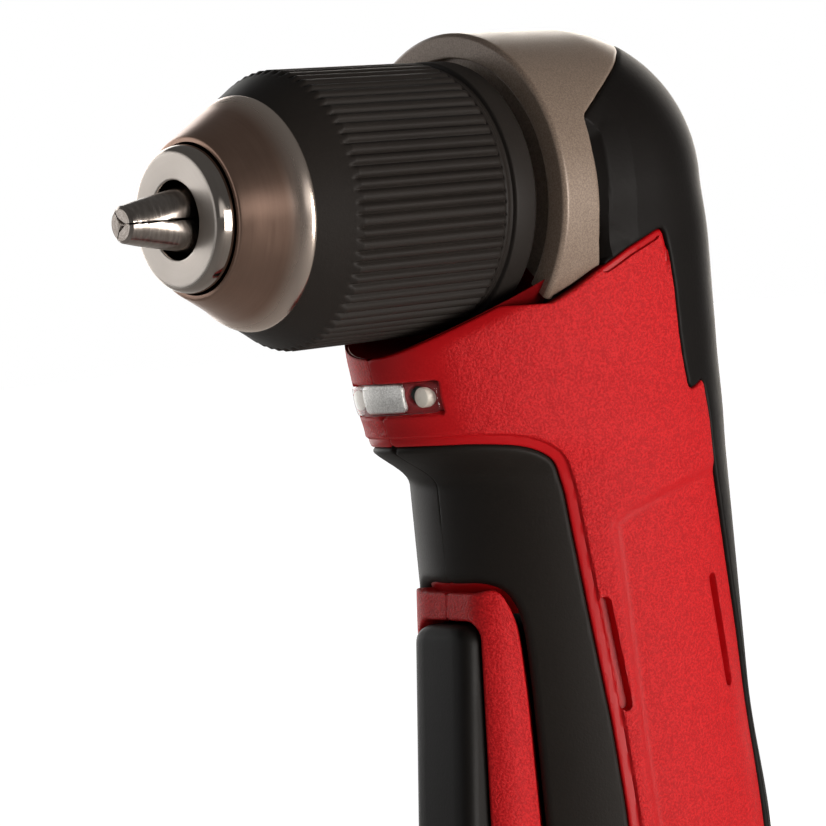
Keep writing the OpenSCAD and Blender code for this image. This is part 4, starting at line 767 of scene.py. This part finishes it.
def sleeve():
    c = chuck
    around = np.array([(i + s) / c["pairs"] for i in range(c["pairs"]) for s, _ in ribProfile]) * 2 * math.pi
    land = np.array([v for _, v in ribProfile] * c["pairs"])
    floor = c["sleeveR"] - c["ribDeep"]
    rows = [(f, np.full_like(land, v)) for f, v in softLine(c["collar"], 4)]
    edge = np.array(flow(c["chamfer"], 8))  # the smooth front slope, which the grooves run out on
    starts = c["ribRear"] + np.array(c["ribStart"])
    for f in np.concatenate([starts, np.linspace(*c["ribRows"]), np.arange(*c["endRows"])]):
        rise = math.sqrt(max(0, 1 - (1 - min((f - c["ribRear"]) / c["ribRound"], 1)) ** 2))
        slope = np.interp(f, edge[:, 0], edge[:, 1])
        crest = min(floor + c["ribRise"] + (c["ribDeep"] - c["ribRise"]) * rise, slope)
        base = min(floor, slope - c["runOut"])
        rows.append((f, base + (crest - base) * land))
    front = [p for p in edge.tolist() if p[0] > c["ribEnd"]] + [(c["chamfer"][-1][0], c["sleeveBore"])]
    rows += [(f, np.full_like(land, v)) for f, v in front]
    verts = np.concatenate([aroundAxis(v, f, around) for f, v in rows])
    faces = ringFaces(len(around), len(rows))
    makePiece("sleeveRibbed", verts, faces, "sleeve_set", finishes["sleeve"], ("chuck_sleeve",),
              angle=50)
    print("sleeve:", len(faces), "faces")


chuckPieces()

# jaws: leaning rods, split by the seams, with the tips ground to a cone
jawLook = {"tipF": 73.5, "tipR": 2.36, "lean": 13.0, "rodR": 3.0, "core": 1.4, "seam": 0.09, "bevel": 0.35,
           "dimple": 0.6, "dimpleDeep": 1.5, "first": 60, "step": 3.0,
           "tipRows": [0, 0.1, 0.2, 0.35, 0.6, 0.9, 1.2, 1.5, 2.2], "rodRows": (3, 29, 40)}


def jawPieces():
    c = jawLook
    tilt, third = math.radians(c["lean"]), math.radians(60)
    wide, far = math.tan(third), 99
    ring = np.radians(np.arange(0, 360, c["step"]))
    cosR, sinR, n = np.cos(ring), np.sin(ring), len(ring)
    a, b, rows = c["rodR"] / math.cos(tilt), c["rodR"], []
    for back in c["tipRows"] + list(np.linspace(*c["rodRows"])):
        outer = c["tipR"] + back * math.tan(tilt)
        centre = outer - a
        start = max(c["core"], centre)
        qa, qb = (cosR / a) ** 2 + (sinR / b) ** 2, 2 * (start - centre) * cosR / a ** 2
        qc = ((start - centre) / a) ** 2 - 1
        rod = (-qb + np.sqrt(qb ** 2 - 4 * qa * qc)) / (2 * qa)
        ground, cone = outer - max(0, c["bevel"] - back), rod
        if ground > start:
            cone = -start * cosR + np.sqrt(np.maximum(ground ** 2 - (start * sinR) ** 2, 0))
        slope = np.abs(sinR) - cosR * wide
        seam = np.where(slope > 1e-6, (start - c["seam"] / math.sin(third)) * wide / np.maximum(slope, 1e-6), far)
        tip = c["dimple"] * max(0, 1 - back / c["dimpleDeep"])
        flat = np.where(cosR < -1e-6, (start - tip) / np.maximum(-cosR, 1e-6), far)
        reach = np.minimum.reduce([rod, cone, seam, flat])
        rows.append(np.stack([start + reach * cosR, reach * sinR, np.full_like(reach, back - c["tipF"])], 1))
    faces = [f[:1] + f[:0:-1] for f in ringFaces(n, len(rows))]
    faces += [list(range(n)), list(range((len(rows) - 1) * n, len(rows) * n))[::-1]]
    points = np.concatenate(rows)
    for k, letter in enumerate("abc"):
        turn = math.radians(c["first"] + 120 * k)
        x = points[:, 0] * math.cos(turn) - points[:, 1] * math.sin(turn)
        z = points[:, 0] * math.sin(turn) + points[:, 1] * math.cos(turn)
        makePiece("jaw" + letter.upper(), np.stack([x, points[:, 2], axisZ + z], 1), faces, "jaw_" + letter + "_body",
                  finishes["jaw"], ("jaw_" + letter,), angle=24)
    print("jaws done")


jawPieces()


# silver case: the turned side, cut along its outline, and the front ring
caseLook = {"turns": (-62, 242, 330), "sides": (-15.9, 19, 90), "gap": 0.06, "round": 0.4, "skirt": 2.2,
            "rounding": (0.08, 0.2, 0.4), "screwY": -8, "screwR": 2.9, "noScrew": 50, "ringSpan": (-43, 223),
            "ring": [(15.9, 22.5), (16.5, 22.5, 0.25), (17, 22, 0.25), (17, 19, 0.3), (15.5, 19), (15.5, 8)],
            "floor": [(15.4, 20.4), (15.45, 8.0), (12, 8.0)], "hollow": [(15.4, 21.2), (15.45, 8.0)]}


def silverCase():
    c = caseLook
    turns, ys = np.radians(np.linspace(*c["turns"])), np.linspace(*c["sides"])
    full, rear = bodyForm["domeFull"], bodyForm["headRear"]
    r = np.where(ys < 0, headR, headR * (1 - np.clip(ys / rear, 0, 1) ** full) ** (1 / full))
    grid = aroundAxis(r, -ys, turns[:, None])
    x, y, h = sideView(grid)
    screw = np.hypot(x, y - c["screwY"]) - c["screwR"] + np.where(h < 0, c["noScrew"], 0)
    sheet = gridSheet(grid, {"case": outlineDistance(y, h, outlines["case"]), "screw": screw})
    addField(sheet, "keep", np.minimum(read(sheet, "case") - c["gap"], read(sheet, "screw")))
    trimSheet(sheet, c["rounding"])
    verts, faces = shell(sheet, -drop(read(sheet, "keep"), c["round"]), c["skirt"])[:2]
    makePiece("caseSide", verts, faces, "housing", finishes["case"], ("gear_case",))
    low, high = c["ringSpan"]
    lathe("caseFront", softLine(c["ring"], 5), "housing", finishes["case"], (), 180, c["ringSpan"])
    lathe("caseFloor", c["floor"], "housing", finishes["case"], span=c["ringSpan"])
    # dark red disc closing the ring's open lower part, painted shade
    lathe("hollowBack", c["hollow"], "housing", finishes["hollow"], span=(high, low + 360))
    print("case done")


silverCase()


# paddle: sections stacked along its leaning length, measured from its pin
paddleLook = {"half": 6.0, "top": 3.9, "low": -84.6, "corner": 2.8, "edge": 2.0, "face": -7.8, "back": 0.5, "toe": 9.0,
              "toeBack": 3.9, "lean": 6.4, "pin": (-20.5, -63.4), "crown": 0.12, "toeBend": 1.5, "thin": 0.3,
              "rows": 60, "toeRows": (-0.12, 1, 26)}


def paddlePiece():
    p = paddleLook
    tilt, top, low, edge, corner = math.radians(p["lean"]), p["top"], p["low"], p["edge"], p["corner"]
    bends = np.linspace(0, math.pi / 2, 9)
    heights = [top - corner * (1 - math.sin(a)) for a in bends[::-1]]
    heights += list(np.linspace(top - corner - 1, low + p["toe"] + 2, p["rows"]))
    heights += [low + p["toe"] * (1 - t) for t in np.linspace(*p["toeRows"])]
    verts = []
    for z in heights:
        rise, lip = np.clip(z - (top - corner), 0, corner), np.clip(z - (top - edge), 0, edge)
        half = p["half"] - (corner - math.sqrt(corner ** 2 - rise ** 2))
        foot = np.clip((low + p["toe"] - z) / p["toe"], 0, 1)
        face = p["face"] + edge - math.sqrt(edge ** 2 - lip ** 2) + p["toeBack"] * foot ** p["toeBend"]
        back = p["back"] + (top - z) / (top - low) * (-low * math.tan(tilt) - p["back"])
        r = min(edge, half - p["thin"])
        side = [(half, back), (half, (back + face + r) / 2)]
        side += [(half - r + r * math.cos(a), face + r - r * math.sin(a)) for a in bends]
        side += [(x, face - p["crown"] * (1 - (x / half) ** 2)) for x in np.linspace(half - r, 0, 8)[1:]]
        ring = side + [(-x, y) for x, y in side[-2::-1]]
        verts += [(x, y, z) for x, y in ring]
    n = len(ring)
    faces = ringFaces(n, len(heights)) + [list(range(n))[::-1], list(range(len(verts) - n, len(verts)))]
    spot = Matrix.Translation((0, p["pin"][0], axisZ + p["pin"][1])) @ Matrix.Rotation(-tilt, 4, "X")
    spots = (np.array(spot) @ np.concatenate([np.array(verts), np.ones((len(verts), 1))], 1).T).T[:, :3]
    makePiece("paddleFace", spots, faces, "paddle_body", finishes["control"], ("paddle",), angle=50)
    print("paddle done")


paddlePiece()


# light strip: a clear window over two domes and a grained reflector
lightLook = {"ledX": 6.35, "height": -26.8, "corner": 0.9, "round": 0.4, "rounding": (0.1, 0.3, 0.6), "skirt": 0.6,
             "heights": (226.5, 233.6, 0.2),
             # half width, growth in height, depth, hole round each diode
             "lens": (9.0, -0.1, -0.1, 0.0), "mirror": (4.5, -0.15, 0.7, 0.0), "pocket": (9.4, 0.3, 1.3, 1.45),
             "dome": [(-30.5, 1.4), (-31.8, 1.4), (-32.0, 1.32), (-32.1, 1.1), (-32.18, 0.7), (-32.2, 0.05)]}


def lightPatch(kind, name, hides=()):
    k, (half, grow, deep, hole) = lightLook, lightLook[kind]
    low, top = bodyEdge["lensLow"] - grow, bodyEdge["lensTop"] + grow
    grid = bodyGrid(np.arange(*k["heights"]))
    grid = np.concatenate([(grid * (-1, 1, 1))[:, :0:-1], grid], 1)
    x, y, h = sideView(grid)
    x = np.abs(x)
    window = roundedBox(x, np.abs(h - (low + top) / 2), half, (top - low) / 2, k["corner"])
    window = np.minimum(window, np.hypot(x - k["ledX"], h - k["height"]) - hole)
    sheet = gridSheet(grid, {"keep": np.where(y < 0, window, -away)})
    trimSheet(sheet, k["rounding"])
    verts, faces = shell(sheet, -deep - drop(read(sheet, "keep"), k["round"]), k["skirt"])[:2]
    makePiece(name, verts, faces, "housing", finishes[kind], hides)


def lightStrip():
    k, verts, faces = lightLook, [], []
    lightPatch("lens", "lightLens", ("led_lens",))
    lightPatch("mirror", "lightMirror")
    lightPatch("pocket", "lightPocket")
    turns = np.linspace(0, 2 * math.pi, 33)[:-1]
    for x in (-k["ledX"], k["ledX"]):
        faces += ringFaces(len(turns), len(k["dome"]), len(verts))
        verts += [(x + v * math.cos(a), y, axisZ + k["height"] + v * math.sin(a)) for y, v in k["dome"] for a in turns]
    makePiece("ledDomes", verts, faces, "housing", finishes["led"], ("leds",))
    print("light strip done")


lightStrip()

# screws across the halves, sunk under the skin
screwLook = {"places": [(18.8, -52), (18.8, -104), (18.8, -154.5), (-19.8, -154.5)],
             "line": [(-6.0, 0.05), (-6.0, 1.2), (-6.4, 1.3), (-6.4, 2.3), (-6.1, 2.6), (-5.0, 2.6), (-5.0, 1.5),
                      (8.6, 1.5), (9.0, 1.1), (9.0, 0.05)]}


def housingScrews():
    turns, line, verts, faces = np.linspace(0, 2 * math.pi, 25)[:-1], screwLook["line"], [], []
    for y, h in screwLook["places"]:
        faces += [f[:1] + f[:0:-1] for f in ringFaces(len(turns), len(line), len(verts))]
        verts += [(x, y + r * math.cos(a), axisZ + h + r * math.sin(a)) for x, r in line for a in turns]
    makePiece("housingScrews", verts, faces, "housing", finishes["screw"], ("housing_screws",))


housingScrews()

# the frame's own pieces that stay
nodeFinish = {
    "steel": "front_bearing rear_bearing pinion_bearing ring_gear gearbox_plate paddle_pin spindle bevel_gear "
             "chuck_nut bevel_pinion carrier_a carrier_b planet_a_one planet_a_two planet_a_three planet_b_one "
             "planet_b_two planet_b_three motor_shaft motor_pinion",
    "dark": "motor_magnets motor_cap motor_fan switch_module terminal_block", "can": "motor_can",
    "copper": "motor_core commutator battery_contacts", "screw": "case_screw chuck_screw", "board": "led_board",
    "plunger": "plunger", "control": "selector latch_left latch_right", "pack": "battery_case", "cell": "battery_cells"}
for key, names in nodeFinish.items():
    for name in names.split():
        mesh = nodes[name].data
        mesh.materials.clear()
        mesh.materials.append(finishes[key])
        mesh.shade_smooth()
        mesh.set_sharp_from_angle(angle=math.radians(32))
print("frame pieces dressed")

# floor, light and camera
studio = {
    # place, power, size, colour
    "lamps": {"key": ((660, 130, 110), 5.5, 440, (1, 0.96, 0.92)),
              "back": ((-420, 620, 380), 4.0, 500, (1, 0.92, 0.82)),
              "side": ((-680, 40, 330), 2.0, 600, (1, 0.98, 0.95)),
              "front": ((-150, -900, 260), 0.4, 600, (0.97, 0.98, 1))},
    "aim": (0, 0, 225), "world": 0.12, "dark": 0.12,
    # what polished parts see round the tool: towards, from, to, strength
    "lobes": [((-0.95, 0.1, 0.0), -0.1, 0.65, 0.9), ((-0.967, -0.246, 0.0), 0.965, 0.995, 4.0),
              ((0.98, -0.2, 0.0), 0.88, 0.985, 0.9)], "lobeTop": (0.2, 0.6),
    "floorHalf": 6000, "floorLow": -0.05, "floorPale": 0.86, "floorDim": 0.55, "floorGlow": 0.84, "floorMirror": 0.12,
    "floorFade": (350, 1500)}
camera = {"spot": (316.40, -291.67, 249.99), "right": (0.6406, 0.7613, -0.0998), "up": (0.0219, 0.1118, 0.9935),
          "back": (0.7676, -0.6386, 0.0549), "sensor": 36, "focal": 3000, "picture": 826, "clip": 100}


def areaLight(name, spot, power, size, colour):
    data = bpy.data.lights.new(name, "AREA")
    data.energy, data.size, data.color = power, size * mm, colour
    lamp = bpy.data.objects.new(name, data)
    lamp.location = [v * mm for v in spot]
    away = lamp.location - Matrix.Translation([v * mm for v in studio["aim"]]).to_translation()
    lamp.rotation_mode = "QUATERNION"
    lamp.rotation_quaternion = away.to_track_quat("Z", "Y")
    bpy.context.scene.collection.objects.link(lamp)


def setWorld():
    world = bpy.data.worlds.new("whiteRoom")
    world.use_nodes = True
    bpy.context.scene.world = world
    tree = world.node_tree
    wire, rays = Wire(tree), ("Is Camera Ray", "Is Glossy Ray", "Is Transmission Ray")
    straight, glossy, through = [wire.add("ShaderNodeLightPath", out=ray) for ray in rays]
    way = wire.add("ShaderNodeTexCoord", out=0)
    height = wire.add("ShaderNodeSeparateXYZ", {}, {0: way}, out=2)
    mirrored = studio["dark"]
    for towards, low, high, power in studio["lobes"]:
        turn = wire.add("ShaderNodeVectorMath", {"operation": "DOT_PRODUCT"}, {0: way, 1: towards}, out=1)
        mirrored = mirrored + turn.between(low, high) * (1 - height.between(*studio["lobeTop"])) * power
    seen = wire.math("MAXIMUM", straight, through)
    strength = seen + (1 - seen) * (glossy * mirrored + (1 - glossy) * studio["world"])
    room = wire.add("ShaderNodeBackground", {}, {"Color": (1, 1, 1, 1), "Strength": strength})
    tree.links.new(room.socket, tree.nodes["World Output"].inputs["Surface"])


def setFloor():
    k = studio
    half, corners = k["floorHalf"] * mm, ((-1, -1), (1, -1), (1, 1), (-1, 1))
    verts = [(x * half, y * half, k["floorLow"] * mm) for x, y in corners]
    mesh = bpy.data.meshes.new("paleFloor")
    mesh.from_pydata(verts, [], [(0, 1, 2, 3)])
    floor = bpy.data.objects.new("paleFloor", mesh)
    bpy.context.scene.collection.objects.link(floor)
    finish, wire, shader = startFinish("floorWhite", {"Roughness": 0.9, "Specular IOR Level": 0.1})
    straight, glossy = [wire.add("ShaderNodeLightPath", out=ray) for ray in ("Is Camera Ray", "Is Glossy Ray")]
    plug(shader, {"Base Color": k["floorPale"] - glossy * k["floorDim"]})  # polished parts see a darker floor
    far = wire.add("ShaderNodeVectorMath", {"operation": "LENGTH"}, {0: place(wire)}, out=1)
    white = k["floorGlow"] + (1 - k["floorGlow"]) * far.between(*k["floorFade"])
    shine = (straight + glossy * k["floorMirror"]) * white
    glow = wire.add("ShaderNodeEmission", {}, {"Color": (1, 1, 1, 1), "Strength": shine})
    body = wire.add("ShaderNodeAddShader", {}, {0: Wire(finish.node_tree, shader.outputs[0]), 1: glow})
    finish.node_tree.links.new(body.socket, finish.node_tree.nodes["Material Output"].inputs["Surface"])
    mesh.materials.append(finish)


def setCamera():
    data = bpy.data.cameras.new("photoView")
    data.sensor_width, data.clip_end = camera["sensor"], camera["clip"]
    data.lens = camera["sensor"] * camera["focal"] / camera["picture"]
    view = bpy.data.objects.new("photoView", data)
    turn = Matrix((camera["right"], camera["up"], camera["back"])).transposed().to_4x4()
    view.matrix_world = Matrix.Translation([v * mm for v in camera["spot"]]) @ turn
    bpy.context.scene.collection.objects.link(view)
    bpy.context.scene.camera = view


def setStudio():
    bpy.context.scene.view_settings.view_transform = "Standard"
    for name, (spot, power, size, colour) in studio["lamps"].items():
        areaLight(name + "Softbox", spot, power, size, colour)
    setWorld()
    setFloor()
    setCamera()


setStudio()
print("scene ready")
